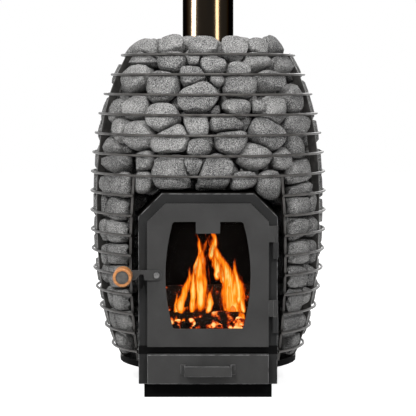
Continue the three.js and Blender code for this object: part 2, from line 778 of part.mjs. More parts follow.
// Hinges: lift-off halves on a pin
function hingeHalf(split, length, pad) {
  const bore = (PIN_RADIUS + FIT_GAP) / Math.cos(Math.PI / HINGE_SIDES);
  const [bottom, top] = length > 0 ? [split, split + length] : [split + length, split];
  const barrel = rod(HINGE_RADIUS, bottom, top, HINGE_SIDES);
  const hole = rod(bore, bottom - 1, top + 1, HINGE_SIDES);
  return cut(join(barrel, pad([bottom, top])), hole).translate(hingeX, hingeY, 0);
}
const doorPad = (span) => box([-HINGE_STANDOFF, 0], [-HINGE_PAD / 2, HINGE_PAD / 2], span);
const framePad = (span) => box([-HINGE_PAD / 2, HINGE_PAD / 2], [0, HINGE_REACH], span);
for (const [place, rise] of Object.entries(HINGE_SPLITS)) {
  const split = PLINTH_HEIGHT + rise;
  const pin = rod(PIN_RADIUS, split - HINGE_HALF, split + HINGE_HALF - HINGE_RADIUS, HINGE_SIDES);
  pin.translate(hingeX, hingeY, 0);
  add(door, "hinge_leaf_" + place, hingeHalf(split + FIT_GAP, HINGE_HALF, doorPad), DOOR_STEEL());
  add(stove, "hinge_post_" + place, hingeHalf(split, -HINGE_HALF, framePad), BODY_STEEL());
  add(stove, "hinge_pin_" + place, pin, BRIGHT_STEEL());
}

// Door
function windowOutline() {
  const half = doorHalf - WINDOW_SIDE_MARGIN;
  const low = doorBottom + WINDOW_MARGIN;
  const high = doorTop - WINDOW_MARGIN;
  const middle = (low + high) / 2;
  const bulge = half + 2 * WINDOW_BULGE;
  const round = WINDOW_CORNER;
  const tab = TAB_WIDTH / 2;
  const shape = new THREE.Shape();
  shape.moveTo(round - half, low);
  shape.lineTo(half - round, low);
  shape.quadraticCurveTo(half, low, half + 1, low + round);
  shape.quadraticCurveTo(bulge, middle, half + 1, high - round);
  shape.quadraticCurveTo(half, high, half - round, high);
  shape.lineTo(tab, high);
  shape.lineTo(tab, high - TAB_DROP);
  shape.lineTo(-tab, high - TAB_DROP);
  shape.lineTo(-tab, high);
  shape.lineTo(round - half, high);
  shape.quadraticCurveTo(-half, high, -half - 1, high - round);
  shape.quadraticCurveTo(-bulge, middle, -half - 1, low + round);
  shape.quadraticCurveTo(-half, low, round - half, low);
  return shape;
}

const boltHole = rod(BOLT_RADIUS + FIT_GAP, -DOOR_PROUD, DOOR_PROUD, HINGE_SIDES)
  .rotateX(Math.PI / 2)
  .translate(latchX, doorFace, latchZ);
add(
  door,
  "door_panel",
  cut(
    join(
      ring(doorOutline(0), windowOutline(), doorFace, doorBack),
      ring(doorOutline(0), doorOutline(DOOR_RIM), doorBack, doorBack + DOOR_RIM_DEPTH),
    ),
    boltHole,
  ),
  DOOR_STEEL(),
);

const glassHalf = doorHalf - WINDOW_SIDE_MARGIN + WINDOW_BULGE + GLASS_LAP;
const glassSpan = [doorBottom + WINDOW_MARGIN - GLASS_LAP, doorTop - WINDOW_MARGIN + GLASS_LAP];
const glassFront = doorBack + FIT_GAP;
const glassBack = glassFront + GLASS_PLATE;
const retainerFront = glassBack + FIT_GAP;
const sealInset = DOOR_LAP - SEAL_WIDTH - 1;
const sealInner = sealInset + SEAL_WIDTH;
const sealCorner =
  doorHalf + doorTop - 2 * sealInner - insetChamfer(FIREBOX_CHAMFER, DOOR_MARGIN + sealInner);
const glassChamfer = Math.max(glassHalf + glassSpan[1] - sealCorner + GLASS_LAP / 4, 1);
const glassOutline = (inset) =>
  archOutline(
    glassHalf - inset,
    glassSpan[0] + inset,
    glassSpan[1] - inset,
    insetChamfer(glassChamfer, inset),
  );
add(door, "door_glass", slabY(glassOutline(0), glassFront, glassBack), GLASS());
add(
  door,
  "glass_retainer",
  ring(glassOutline(0), glassOutline(GLASS_LAP), retainerFront, retainerFront + RETAINER_PLATE),
  BODY_STEEL(),
);
add(
  door,
  "door_seal",
  ring(doorOutline(sealInset), doorOutline(sealInner), glassFront, frameFace - FIT_GAP),
  ROPE(),
);

// Latch
const atLatch = (geometry) => geometry.translate(latchX, 0, latchZ);
const keeperX = -(doorHalf + KEEPER_OUTSET);
const leverHalf = LEVER_HEIGHT / 2;
const notch = keeperX - latchX;
const notchTop = NOTCH_DEPTH - leverHalf;
const notchHalf = KEEPER_PLATE / 2 + NOTCH_SIDE_GAP;
const leverOutline = new THREE.Shape();
leverOutline.moveTo(-LEVER_LENGTH, -leverHalf);
leverOutline.lineTo(notch - notchHalf - NOTCH_RAMP, -leverHalf);
leverOutline.lineTo(notch - notchHalf, notchTop);
leverOutline.lineTo(notch + notchHalf, notchTop);
leverOutline.lineTo(notch + notchHalf + NOTCH_EASE, -leverHalf);
leverOutline.lineTo(0, -leverHalf);
leverOutline.absarc(0, 0, leverHalf, -Math.PI / 2, Math.PI / 2, false);
leverOutline.lineTo(-LEVER_LENGTH, leverHalf);
leverOutline.absarc(-LEVER_LENGTH, 0, leverHalf, Math.PI / 2, (3 * Math.PI) / 2, false);
add(
  handle,
  "latch_lever",
  cut(
    atLatch(slabY(leverOutline, leverFront, leverBack)),
    rod(BOLT_RADIUS + FIT_GAP, -LEVER_LENGTH, LEVER_LENGTH, HINGE_SIDES)
      .rotateX(Math.PI / 2)
      .translate(latchX, leverBack, latchZ),
  ),
  DOOR_STEEL(),
);

// Profile of radius and distance ahead of y = back, turned about an axis towards the front.
const turnedForward = (profile, back) =>
  turned(profile, ROUND_SIDES - 8)
    .rotateX(Math.PI / 2)
    .translate(0, back, 0);

const boltGrip = doorBack - leverFront + FIT_GAP;
add(
  door,
  "latch_bolt",
  atLatch(
    turnedForward(
      [
        [0, 0],
        [BOLT_RADIUS, 0],
        [BOLT_RADIUS, boltGrip],
        [BOLT_HEAD_RADIUS, boltGrip],
        [BOLT_HEAD_RADIUS, boltGrip + BOLT_HEAD_HEIGHT / 2],
        [BOLT_HEAD_RADIUS * 0.6, boltGrip + BOLT_HEAD_HEIGHT],
        [0, boltGrip + BOLT_HEAD_HEIGHT],
      ],
      doorBack,
    ),
  ),
  BRIGHT_STEEL(),
);

const atKnob = (geometry) => atLatch(geometry).translate(-LEVER_LENGTH, 0, 0);
const knobBack = leverFront - FIT_GAP;
const capSeat = KNOB_LENGTH - CAP_DEPTH;
add(
  handle,
  "latch_knob",
  atKnob(
    turnedForward(
      [
        [0, 0],
        [KNOB_RADIUS - KNOB_ROUND, 0],
        [KNOB_RADIUS, KNOB_ROUND],
        [KNOB_RADIUS, KNOB_LENGTH - KNOB_ROUND],
        [KNOB_RADIUS - KNOB_ROUND, KNOB_LENGTH],
        [CAP_RADIUS + FIT_GAP, KNOB_LENGTH],
        [CAP_RADIUS + FIT_GAP, capSeat],
        [0, capSeat],
      ],
      knobBack,
    ),
  ),
  WOOD(),
);
add(
  handle,
  "knob_cap",
  atKnob(
    turnedForward(
      [
        [0, capSeat + FIT_GAP],
        [CAP_RADIUS, capSeat + FIT_GAP],
        [CAP_RADIUS, KNOB_LENGTH],
        [0, KNOB_LENGTH],
      ],
      knobBack,
    ),
  ),
  BRIGHT_STEEL(),
);

const keeperTop = latchZ + notchTop - FIT_GAP;
const keeperTip = leverFront - KEEPER_NOSE;
add(
  stove,
  "latch_keeper",
  slabX(
    polygon([
      [frameFace, keeperTop - KEEPER_DROP],
      [frameFace, keeperTop],
      [leverFront - KEEPER_NOSE / 3, keeperTop],
      [keeperTip, keeperTop - KEEPER_NOSE],
      [keeperTip, keeperTop - KEEPER_DROP],
    ].reverse()),
    keeperX - KEEPER_PLATE / 2,
    keeperX + KEEPER_PLATE / 2,
  ),
  BODY_STEEL(),
);

// Ash drawer
add(
  drawer,
  "drawer_front",
  cut(
    box([-doorHalf, doorHalf], [drawerFace, frameFace - FIT_GAP], [drawerBottom, drawerTop]),
    box(
      [DRAWER_WALL - doorHalf, doorHalf - DRAWER_WALL],
      [drawerFace + DRAWER_WALL, frameFace + 1],
      [drawerBottom + DRAWER_WALL, drawerTop - DRAWER_WALL],
    ),
  ),
  DOOR_STEEL(),
);
const panHalf = drawerHole - PAN_SIDE_GAP;
const panBottom = floorTop + FIT_GAP;
add(
  drawer,
  "ash_pan",
  cut(
    box([-panHalf, panHalf], [frameFace, frameFace + PAN_LENGTH], [panBottom, panBottom + PAN_HEIGHT]),
    box(
      [PAN_WALL - panHalf, panHalf - PAN_WALL],
      [frameFace + PAN_WALL, frameFace + PAN_LENGTH - PAN_WALL],
      [panBottom + PAN_WALL, panBottom + PAN_HEIGHT + 1],
    ),
  ),
  BODY_STEEL(),
);

const pullBack = drawerFace - FIT_GAP;
const pullFront = pullBack - PULL_REACH;
const pullHalf = PULL_LENGTH / 2;
const pullMiddle = (drawerBottom + drawerTop) / 2;
const pullRight = [
  [pullHalf, pullFront],
  [pullHalf, pullBack - PULL_PLATE],
  [pullHalf + PULL_FOOT, pullBack - PULL_PLATE],
  [pullHalf + PULL_FOOT, pullBack],
  [pullHalf - PULL_PLATE, pullBack],
  [pullHalf - PULL_PLATE, pullFront + PULL_PLATE],
];
const pullLeft = pullRight.map(([x, y]) => [-x, y]).reverse();
add(
  drawer,
  "drawer_pull",
  slabZ(polygon([...pullRight, ...pullLeft]), pullMiddle - PULL_HEIGHT / 2, pullMiddle + PULL_HEIGHT / 2),
  DOOR_STEEL(),
);

export default stove;
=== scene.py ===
"""Looks of a wood-burning sauna stove with a stone-filled wire cage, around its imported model."""

import logging
import math
import random
from dataclasses import dataclass, field
from enum import Enum
from typing import Any, Iterable, Sequence

import bmesh
import bpy
import numpy as np
from mathutils import Matrix, Vector, noise


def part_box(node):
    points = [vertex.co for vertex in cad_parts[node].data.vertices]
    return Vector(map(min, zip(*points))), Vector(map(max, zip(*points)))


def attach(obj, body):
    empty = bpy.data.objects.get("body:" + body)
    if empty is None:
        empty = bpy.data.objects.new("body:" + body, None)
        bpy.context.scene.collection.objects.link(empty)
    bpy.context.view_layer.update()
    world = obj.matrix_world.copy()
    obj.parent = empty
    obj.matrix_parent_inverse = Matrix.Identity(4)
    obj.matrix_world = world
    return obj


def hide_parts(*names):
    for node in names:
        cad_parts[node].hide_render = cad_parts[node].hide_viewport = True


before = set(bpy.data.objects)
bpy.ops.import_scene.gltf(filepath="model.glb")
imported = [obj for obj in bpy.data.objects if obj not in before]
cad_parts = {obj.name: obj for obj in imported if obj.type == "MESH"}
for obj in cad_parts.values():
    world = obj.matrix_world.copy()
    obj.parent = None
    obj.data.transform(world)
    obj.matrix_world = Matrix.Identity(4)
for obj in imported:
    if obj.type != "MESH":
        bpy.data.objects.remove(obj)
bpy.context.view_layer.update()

LOG = logging.getLogger("sauna_stove")
MM = 0.001
WELD = 0.001  # millimetres within which corners are merged
SOLID_WELD = 0.01  # the same for the loose triangles of a solid
FLAT = math.radians(1)  # faces of a solid that meet at less are one face
ROUNDED = math.radians(30)  # edges of a solid that are sharper are rounded
CREASE = math.radians(42)  # edges of a piece that are sharper are shaded sharp
Colour = tuple[float, float, float, float]
Shape = bmesh.types.BMesh


class Body(Enum):
    """The bodies that pieces ride on."""

    STOVE = "stove"
    DOOR = "door"
    HANDLE = "handle"
    DRAWER = "ash_drawer"


class Slot(Enum):
    """The record's material slots."""

    DOOR = "door_steel"
    BODY = "body_steel"
    BLACK = "black_steel"
    INNER = "inner_steel"
    CAGE = "cage_steel"
    BRIGHT = "bright_steel"
    CAP = "cap_steel"
    FLUE = "flue_steel"
    IRON = "cast_iron"
    STONE = "stone"
    WOOD = "wood"
    CHAR = "char"
    GLASS = "glass"
    ROPE = "rope"


# Shader wiring


class Wire:
    """A shader socket that takes part in Python arithmetic."""

    def __init__(self, board: "Board", socket: bpy.types.NodeSocket) -> None:
        """Wraps one output socket of a board."""
        self.board = board
        self.socket = socket

    def _math(self, operation: str, first: Any, second: Any) -> "Wire":
        """Adds one Math node."""
        return self.board.add("ShaderNodeMath", {"operation": operation}, {0: first, 1: second})

    def __add__(self, other: Any) -> "Wire":
        """Sum."""
        return self._math("ADD", self, other)

    def __radd__(self, other: Any) -> "Wire":
        """Sum with a plain number first."""
        return self._math("ADD", other, self)

    def __sub__(self, other: Any) -> "Wire":
        """Difference."""
        return self._math("SUBTRACT", self, other)

    def __rsub__(self, other: Any) -> "Wire":
        """Difference with a plain number first."""
        return self._math("SUBTRACT", other, self)

    def __mul__(self, other: Any) -> "Wire":
        """Product."""
        return self._math("MULTIPLY", self, other)

    def __rmul__(self, other: Any) -> "Wire":
        """Product with a plain number first."""
        return self._math("MULTIPLY", other, self)

    def __pow__(self, other: Any) -> "Wire":
        """Power."""
        return self._math("POWER", self, other)

    def sine(self) -> "Wire":
        """Sine of the value in radians."""
        return self._math("SINE", self, 0.0)

    def step(self, low: float, high: float) -> "Wire":
        """Smooth rise from 0 at low to 1 at high."""
        return self.board.add(
            "ShaderNodeMapRange",
            {"interpolation_type": "SMOOTHSTEP"},
            {"Value": self, "From Min": low, "From Max": high},
        )


class Board:
    """The node tree of a material or a world, with a single way to add nodes to it."""

    def __init__(self, name: str, world: bool = False) -> None:
        """Starts an empty material of that name, or an empty world."""
        shelf = bpy.data.worlds if world else bpy.data.materials
        self.owner = shelf.new(name)
        self.owner.use_nodes = True
        self.tree = self.owner.node_tree
        self.tree.nodes.clear()

    def add(
        self,
        kind: str,
        settings: dict[str, Any] | None = None,
        sockets: dict[Any, Any] | None = None,
        output: Any = 0,
    ) -> Wire:
        """Adds a node.

        Args:
            kind: the node's type.
            settings: properties that are set first; "stops" fills a colour ramp.
            sockets: input names or indices, with values or wires.
            output: the output to return.

        Returns:
            The chosen output as a wire.
        """
        node = self.tree.nodes.new(kind)
        for key, value in (settings or {}).items():
            if key == "stops":
                self._fill(node.color_ramp, value)
            else:
                setattr(node, key, value)
        for key, value in (sockets or {}).items():
            if isinstance(value, Wire):
                self.tree.links.new(value.socket, node.inputs[key])
            else:
                node.inputs[key].default_value = value
        return Wire(self, node.outputs[output] if len(node.outputs) else None)

    @staticmethod
    def _fill(ramp: bpy.types.ColorRamp, stops: Sequence[tuple[float, Colour]]) -> None:
        """Gives a colour ramp its stops."""
        while len(ramp.elements) < len(stops):
            ramp.elements.new(1.0)
        for element, (position, colour) in zip(ramp.elements, stops):
            element.position = position
            element.color = colour

    def spot(self, scale: Sequence[float] = (1, 1, 1), shift: Sequence[float] = (0, 0, 0)) -> Wire:
        """Object coordinates, moved by shift and then scaled."""
        place = self.add("ShaderNodeTexCoord", output="Object")
        moved = self.add("ShaderNodeVectorMath", {"operation": "ADD"}, {0: place, 1: tuple(shift)})
        return self.add("ShaderNodeVectorMath", {"operation": "MULTIPLY"}, {0: moved, 1: tuple(scale)})

    def attribute(self, name: str) -> Wire:
        """A mesh attribute as a value."""
        return self.add("ShaderNodeAttribute", {"attribute_name": name}, output="Fac")

    def grain(
        self, scale: float, detail: float = 3.0, place: Wire | None = None, twist: float = 0.0
    ) -> Wire:
        """Noise of about one period in 1 / scale metres."""
        sockets = {"Scale": scale, "Detail": detail, "Distortion": twist}
        sockets["Vector"] = place or self.spot()
        return self.add("ShaderNodeTexNoise", None, sockets)

    def ramp(self, value: Wire, *stops: tuple[float, Colour]) -> Wire:
        """Colour that follows a value."""
        return self.add("ShaderNodeValToRGB", {"stops": stops}, {"Fac": value})

    def mix(self, share: Any, first: Any, second: Any) -> Wire:
        """Blend of two colours."""
        return self.add("ShaderNodeMix", {"data_type": "RGBA"}, {0: share, 6: first, 7: second}, 2)

    def bump(self, height: Wire, strength: float, distance: float) -> Wire:
        """Normal that follows a height."""
        sockets = {"Strength": strength, "Distance": distance, "Height": height}
        return self.add("ShaderNodeBump", None, sockets)

    def finish(self, **inputs: Any) -> bpy.types.Material:
        """Ends the tree in one surface shader, whose inputs are named with _ for spaces."""
        sockets = {key.replace("_", " "): value for key, value in inputs.items()}
        surface = self.add("ShaderNodeBsdfPrincipled", None, sockets)
        self.add("ShaderNodeOutputMaterial", None, {"Surface": surface})
        return self.owner


def grey(level: float, warmth: float = 0.0) -> Colour:
    """Linear grey, warmer above 0 and cooler below."""
    return (level * (1 + warmth), level, level * (1 - warmth), 1.0)


def shade(colour: Colour, factor: float) -> Colour:
    """A colour made deeper or paler."""
    return tuple(part * factor for part in colour[:3]) + (1.0,)


# Finishes


@dataclass(frozen=True)
class PaintedSteel:
    """Heat-proof paint on sheet steel: faint mottle, fine orange peel, paler on its rounded edges as wear
    and as a painted highlight.

    The slot, where there is one, is a level band painted near-black as painted shade of a dark gap: its
    lower and upper height.
    """

    name: str
    colour: Colour
    worn_and_highlit: Colour
    roughness: float = 0.5
    metallic: float = 0.0
    peel: float = 0.12
    gloss: float = 0.09
    slot: tuple[float, float] | None = None
    shade_band_edge: float = 0.001
    # near-black of the painted shade band
    soot_and_shade: Colour = (0.002, 0.002, 0.002, 1.0)

    def make(self) -> bpy.types.Material:
        """Builds the material."""
        board = Board(self.name)
        mottle = board.grain(14, 4)
        dust = board.grain(900, 2)
        deep, pale = shade(self.colour, 0.8), shade(self.colour, 1.22)
        paint = board.ramp(mottle * 0.7 + dust * 0.3, (0.3, deep), (0.7, pale))
        # paler rounded edges: partly wear, partly a painted highlight along the edges
        edge = board.attribute("wear_and_highlight") * board.grain(70, 3).step(0.35, 0.6)
        coat = board.mix(edge, paint, self.worn_and_highlit)
        # painted shade: a level near-black band stands for the dark gap between the door and the drawer
        if self.slot:
            height = board.add("ShaderNodeSeparateXYZ", None, {0: board.spot()}, "Z")
            low, high = self.slot
            below = height.step(low - self.shade_band_edge, low)
            above = height.step(high, high + self.shade_band_edge)
            coat = board.mix(below * (1 - above), coat, self.soot_and_shade)
        return board.finish(
            Base_Color=coat,
            Roughness=mottle * 0.16 + (self.roughness - 0.08),
            Metallic=self.metallic,
            Specular_IOR_Level=self.gloss,
            Normal=board.bump(dust, self.peel, 0.0004),
        )


@dataclass(frozen=True)
class CageSteel:
    """Bare rolled steel: warm grey, drawn lines, darker oxide patches."""

    name: str
    colour: Colour
    oxide: Colour
    metallic: float = 0.85
    roughness: float = 0.32

    def make(self) -> bpy.types.Material:
        """Builds the material."""
        board = Board(self.name)
        patch = board.grain(45, 5)
        scratch = board.grain(500, 2)
        return board.finish(
            Base_Color=board.mix(patch.step(0.42, 0.72), self.colour, self.oxide),
            Roughness=patch * 0.3 + scratch * 0.12 + (self.roughness - 0.18),
            Metallic=self.metallic,
            Normal=board.bump(scratch, 0.15, 0.0004),
        )


@dataclass(frozen=True)
class SaunaStone:
    """Grey volcanic stone, speckled light and dark, each with its own tone."""

    name: str = "sauna_stone"
    speck: float = 420.0
    dark: Colour = (0.042, 0.042, 0.043, 1.0)
    middle: Colour = (0.2, 0.198, 0.195, 1.0)
    light: Colour = (0.46, 0.455, 0.445, 1.0)

    def make(self) -> bpy.types.Material:
        """Builds the material."""
        board = Board(self.name)
        tone = board.attribute("tone")
        speckle = board.grain(self.speck, 3)
        cloud = board.grain(22, 4)
        fleck = board.grain(1100, 2)
        body = speckle * 0.62 + fleck * 0.38 + (cloud - 0.5) * 0.18 + (tone - 0.5) * 0.05
        paint = board.ramp(body, (0.385, self.dark), (0.5, self.middle), (0.63, self.light))
        rough = cloud * 0.18 + speckle * 0.12 + 0.68
        height = speckle * 0.5 + board.grain(90, 5) * 1.6
        return board.finish(
            Base_Color=paint,
            Roughness=rough,
            Specular_IOR_Level=0.1,
            Normal=board.bump(height, 0.55, 0.0022),
        )


@dataclass(frozen=True)
class FlueSteel:
    """Polished dark steel with a bronze heat tint."""

    name: str = "flue_steel"
    cool: Colour = (0.0095, 0.0085, 0.0075, 1.0)
    tinted: Colour = (0.021, 0.015, 0.0095, 1.0)
    rim: Colour = (0.08, 0.06, 0.04, 1.0)

    def make(self) -> bpy.types.Material:
        """Builds the material."""
        board = Board(self.name)
        haze = board.grain(9, 3, board.spot((1, 1, 0.25)))
        lines = board.grain(30, 2, board.spot((1, 1, 40)))
        return board.finish(
            Base_Color=board.mix(haze.step(0.35, 0.7), self.cool, self.tinted),
            Roughness=lines * 0.06 + haze * 0.06 + 0.08,
            Metallic=1.0,
            Specular_Tint=self.rim,
            Normal=board.bump(lines, 0.03, 0.0004),
        )


@dataclass(frozen=True)
class KnobWood:
    """Oiled orange-brown hardwood, with its grain running across the stove."""

    name: str = "knob_wood"
    pale: Colour = (0.56, 0.25, 0.085, 1.0)
    dark: Colour = (0.3, 0.105, 0.03, 1.0)

    def make(self) -> bpy.types.Material:
        """Builds the material."""
        board = Board(self.name)
        streak = board.grain(30, 4, board.spot((1.4, 9, 9)), 0.5)
        pore = board.grain(90, 2, board.spot((1.5, 14, 14)))
        paint = board.ramp(streak * 0.75 + pore * 0.25, (0.36, self.dark), (0.62, self.pale))
        return board.finish(
            Base_Color=paint,
            Roughness=pore * 0.25 + 0.38,
            Coat_Weight=0.15,
            Coat_Roughness=0.3,
            Normal=board.bump(pore, 0.2, 0.0005),
        )


@dataclass(frozen=True)
class TurnedSteel:
    """Steel faced on a lathe: fine rings about the axis of a disc."""

    name: str
    centre: tuple[float, float, float]
    colour: Colour
    pitch: float = 0.0009

    def make(self) -> bpy.types.Material:
        """Builds the material."""
        board = Board(self.name)
        shift = tuple(-c for c in self.centre)
        flat = board.spot((1, 0, 1), shift)
        radius = board.add("ShaderNodeVectorMath", {"operation": "LENGTH"}, {0: flat}, "Value")
        rings = (radius * (2 * math.pi / self.pitch)).sine() * 0.5 + 0.5
        haze = board.grain(140, 3)
        return board.finish(
            Base_Color=board.mix(haze.step(0.3, 0.7), shade(self.colour, 0.7), self.colour),
            Roughness=rings * 0.1 + haze * 0.16 + 0.22,
            Metallic=1.0,
            Normal=board.bump(rings, 0.2, 0.0002),
        )


@dataclass(frozen=True)
class CharredBark:
    """Burning wood: black cracked char, brown bark left between, patches of glowing embers."""

    name: str
    glow: float
    heat: float
    bark: Colour = (0.022, 0.01, 0.005, 1.0)
    char: Colour = (0.008, 0.006, 0.005, 1.0)
    ember: Colour = (1.0, 0.2, 0.02, 1.0)

    def make(self) -> bpy.types.Material:
        """Builds the material."""
        board = Board(self.name)
        place = board.spot((0.6, 1, 1))
        settings = {"feature": "DISTANCE_TO_EDGE"}
        wander = board.grain(60, 4)
        bent = board.add("ShaderNodeVectorMath", {"operation": "ADD"}, {0: place, 1: wander * 0.02})
        crack = board.add("ShaderNodeTexVoronoi", settings, {"Vector": bent, "Scale": 70.0})
        patch = board.grain(34, 6)
        hot = (0.35 + wander) * patch.step(self.heat, self.heat + 0.2)
        burn = board.ramp(
            hot,
            (0.2, (0, 0, 0, 1)),
            (0.45, (0.3, 0.015, 0.0, 1)),
            (0.62, self.ember),
            (0.85, (1.0, 0.6, 0.22, 1)),
        )
        return board.finish(
            Base_Color=board.mix(patch.step(0.45, 0.62), self.char, self.bark),
            Roughness=0.9,
            Emission_Color=burn,
            Emission_Strength=self.glow,
            Normal=board.bump(crack.step(0.0, 0.25) + patch * 0.6, 0.8, 0.003),
        )


@dataclass(frozen=True)
class FlameGlow:
    """Flame: pale yellow heart, orange body, red edge that thins away."""

    name: str = "flame_glow"
    strength: float = 1.2

    def make(self) -> bpy.types.Material:
        """Builds the material."""
        board = Board(self.name)
        across = board.attribute("across")
        along = board.attribute("along")
        streak = board.grain(22, 3, board.spot((4.2, 2, 0.75)), 0.9)
        thread = board.grain(22, 2, board.spot((11, 4, 1.6)), 0.6)
        body = (1 - across * across) * (1 - along**2.2) * board.attribute("glow")
        lick = (streak - 0.5) * 1.3 + (thread - 0.5) * 0.5
        heat = (body * 1.04 + lick) * along.step(0.0, 0.2)
        paint = board.ramp(
            heat,
            (0.1, (0.12, 0.004, 0.0, 1)),
            (0.3, (0.55, 0.045, 0.001, 1)),
            (0.52, (1.0, 0.17, 0.003, 1)),
            (0.74, (1.0, 0.34, 0.014, 1)),
            (1.0, (1.0, 0.74, 0.22, 1)),
        )
        return board.finish(
            Base_Color=(0, 0, 0, 1),
            Roughness=1.0,
            Specular_IOR_Level=0.0,
            Emission_Color=paint,
            Emission_Strength=self.strength,
            Alpha=heat.step(0.12, 0.6),
        )


@dataclass(frozen=True)
class WindowGlass:
    """Clear heat-proof glass with a light film of soot in patches."""

    name: str = "window_glass"
    tint: Colour = (0.012, 0.01, 0.009, 1.0)

    def make(self) -> bpy.types.Material:
        """Builds the material."""
        board = Board(self.name)
        soot_and_shade = board.grain(18, 4)
        return board.finish(
            Base_Color=self.tint,
            Roughness=soot_and_shade * 0.12 + 0.02,
            Specular_IOR_Level=0.1,
            Alpha=soot_and_shade.step(0.4, 0.8) * 0.08 + 0.06,
        )


@dataclass(frozen=True)
class SealRope:
    """Braided glass-fibre rope: slanting strands in two directions."""

    name: str = "seal_rope"
    pale: Colour = (0.34, 0.32, 0.29, 1.0)
    dark: Colour = (0.06, 0.055, 0.05, 1.0)

    def make(self) -> bpy.types.Material:
        """Builds the material."""
        board = Board(self.name)
        place = board.add("ShaderNodeTexCoord", output="Object")
        parts = {axis: board.add("ShaderNodeSeparateXYZ", None, {0: place}, axis) for axis in "XYZ"}
        lean = (parts["X"] + parts["Z"]) * 1500.0
        fold = (parts["X"] - parts["Z"]) * 1500.0
        strand = lean.sine() * fold.sine() * 0.5 + 0.5
        fuzz = board.grain(700, 2)
        return board.finish(
            Base_Color=board.mix(strand * 0.7 + fuzz * 0.3, self.dark, self.pale),
            Roughness=0.95,
            Normal=board.bump(strand + fuzz * 0.4, 0.7, 0.0012),
        )


# Workshop


@dataclass
class Workshop:
    """Makes finishes once and sets finished pieces in place."""

    finishes: dict[Slot, Any]
    polished: bpy.types.Collection
    made: dict[Slot, bpy.types.Material] = field(default_factory=dict)

    def finish(self, slot: Slot) -> bpy.types.Material:
        """The material of a slot."""
        if slot not in self.made:
            self.made[slot] = self.finishes[slot].make()
        return self.made[slot]

    def place(
        self,
        shape: Shape,
        name: str,
        slot: Slot,
        body: Body,
        nodes: Iterable[str] = (),
        material: bpy.types.Material | None = None,
        weighted: bool = False,
        closed: bool = True,
    ) -> bpy.types.Object:
        """Turns a shape in millimetres into a piece of the stove.

        Args:
            shape: the finished mesh, which is freed.
            name: the piece's name.
            slot: the record's slot that it takes its finish from.
            body: what it rides on.
            nodes: the solids that it stands for.
            material: a finish of its own, where the slot's isn't used.
            weighted: whether flat faces keep flat shading beside rounded edges.
            closed: whether its faces are turned to point outwards.

        Returns:
            The piece.
        """
        if closed:
            bmesh.ops.recalc_face_normals(shape, faces=shape.faces)
        bmesh.ops.scale(shape, vec=(MM, MM, MM), verts=shape.verts)
        for face in shape.faces:
            face.smooth = True
        mesh = bpy.data.meshes.new(name)
        shape.to_mesh(mesh)
        shape.free()
        mesh.set_sharp_from_angle(angle=CREASE)
        mesh.materials.append(material or self.finish(slot))
        piece = bpy.data.objects.new(name, mesh)
        bpy.context.scene.collection.objects.link(piece)
        if weighted:
            shading = piece.modifiers.new("even_shading", "WEIGHTED_NORMAL")
            shading.keep_sharp = True
        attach(piece, body.value)
        if nodes:
            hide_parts(*nodes)
        LOG.info("%s: %d faces on %s", name, len(mesh.polygons), body.value)
        return piece

    def dress(
        self, node: str, slot: Slot, body: Body, width: float, material: bpy.types.Material | None = None
    ) -> bpy.types.Object:
        """Stands a copy of a solid in the solid's place, with rounded edges that are paler as wear and as a
        painted highlight.
        """
        name = node + "_dressed"
        return self.place(rounded(node, width), name, slot, body, [node], material, weighted=True)

    def paint(self, node: str, slot: Slot) -> None:
        """Gives a solid that stays a better finish."""
        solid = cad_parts[node]
        solid.data.materials.clear()
        solid.data.materials.append(self.finish(slot))
        LOG.info("%s: painted", node)


def rounded(node: str, width: float) -> Shape:
    """Copy of a solid in millimetres, with its sharp edges rounded.

    Args:
        node: the solid's name.
        width: how far the rounding reaches from the edge.

    Returns:
        The shape, with a corner attribute "wear_and_highlight" that is 1 on the roundings, where paint is
        paler as wear and as a painted highlight.
    """
    shape = bmesh.new()
    shape.from_mesh(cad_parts[node].data)
    bmesh.ops.scale(shape, vec=(1 / MM, 1 / MM, 1 / MM), verts=shape.verts)
    bmesh.ops.remove_doubles(shape, verts=shape.verts, dist=SOLID_WELD)
    bmesh.ops.dissolve_limit(
        shape, angle_limit=FLAT, verts=shape.verts, edges=shape.edges, delimit={"NORMAL"}
    )
    wear_and_highlight = shape.loops.layers.float.new("wear_and_highlight")
    sharp = [
        edge
        for edge in shape.edges
        if len(edge.link_faces) == 2 and edge.calc_face_angle(0.0) > ROUNDED
    ]
    made = bmesh.ops.bevel(
        shape,
        geom=sharp,
        offset=width,
        offset_type="OFFSET",
        affect="EDGES",
        segments=2,
        profile=0.5,
        material=-1,
        clamp_overlap=True,
    )
    for face in made["faces"]:
        for loop in face.loops:
            loop[wear_and_highlight] = 1.0
    return shape


def measured(node: str) -> tuple[Vector, Vector]:
    """Lowest and highest corner of a solid, in millimetres."""
    low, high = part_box(node)
    return low / MM, high / MM


def spun(profile: Sequence[tuple[float, float]], steps: int, cap: bool = True) -> Shape:
    """Solid turned about the Z axis.

    Args:
        profile: radius and height of each corner, from the bottom of the axis to its top.
        steps: how many facets it has round the axis.
        cap: whether the profile starts and ends on the axis; otherwise it is a closed loop.

    Returns:
        The shape.
    """
    shape = bmesh.new()
    verts = [shape.verts.new((radius, 0, height)) for radius, height in profile]
    pairs = list(zip(verts, verts[1:])) + ([] if cap else [(verts[-1], verts[0])])
    edges = [shape.edges.new(pair) for pair in pairs]
    bmesh.ops.spin(
        shape,
        geom=verts + edges,
        cent=(0, 0, 0),
        axis=(0, 0, 1),
        angle=2 * math.pi,
        steps=steps,
        use_merge=True,
        use_duplicate=False,
    )
    bmesh.ops.remove_doubles(shape, verts=shape.verts, dist=WELD)
    return shape


def turn(shape: Shape, matrix: Matrix, verts: Iterable[bmesh.types.BMVert] | None = None) -> None:
    """Moves a shape, or some of its corners, by a matrix."""
    bmesh.ops.transform(shape, matrix=matrix, verts=list(verts or shape.verts))


def toward(azimuth: float) -> Vector:
    """Level direction at an azimuth in degrees from the front, growing towards the right."""
    angle = math.radians(azimuth)
    return Vector((math.sin(angle), -math.cos(angle), 0.0))


# Sub-assemblies


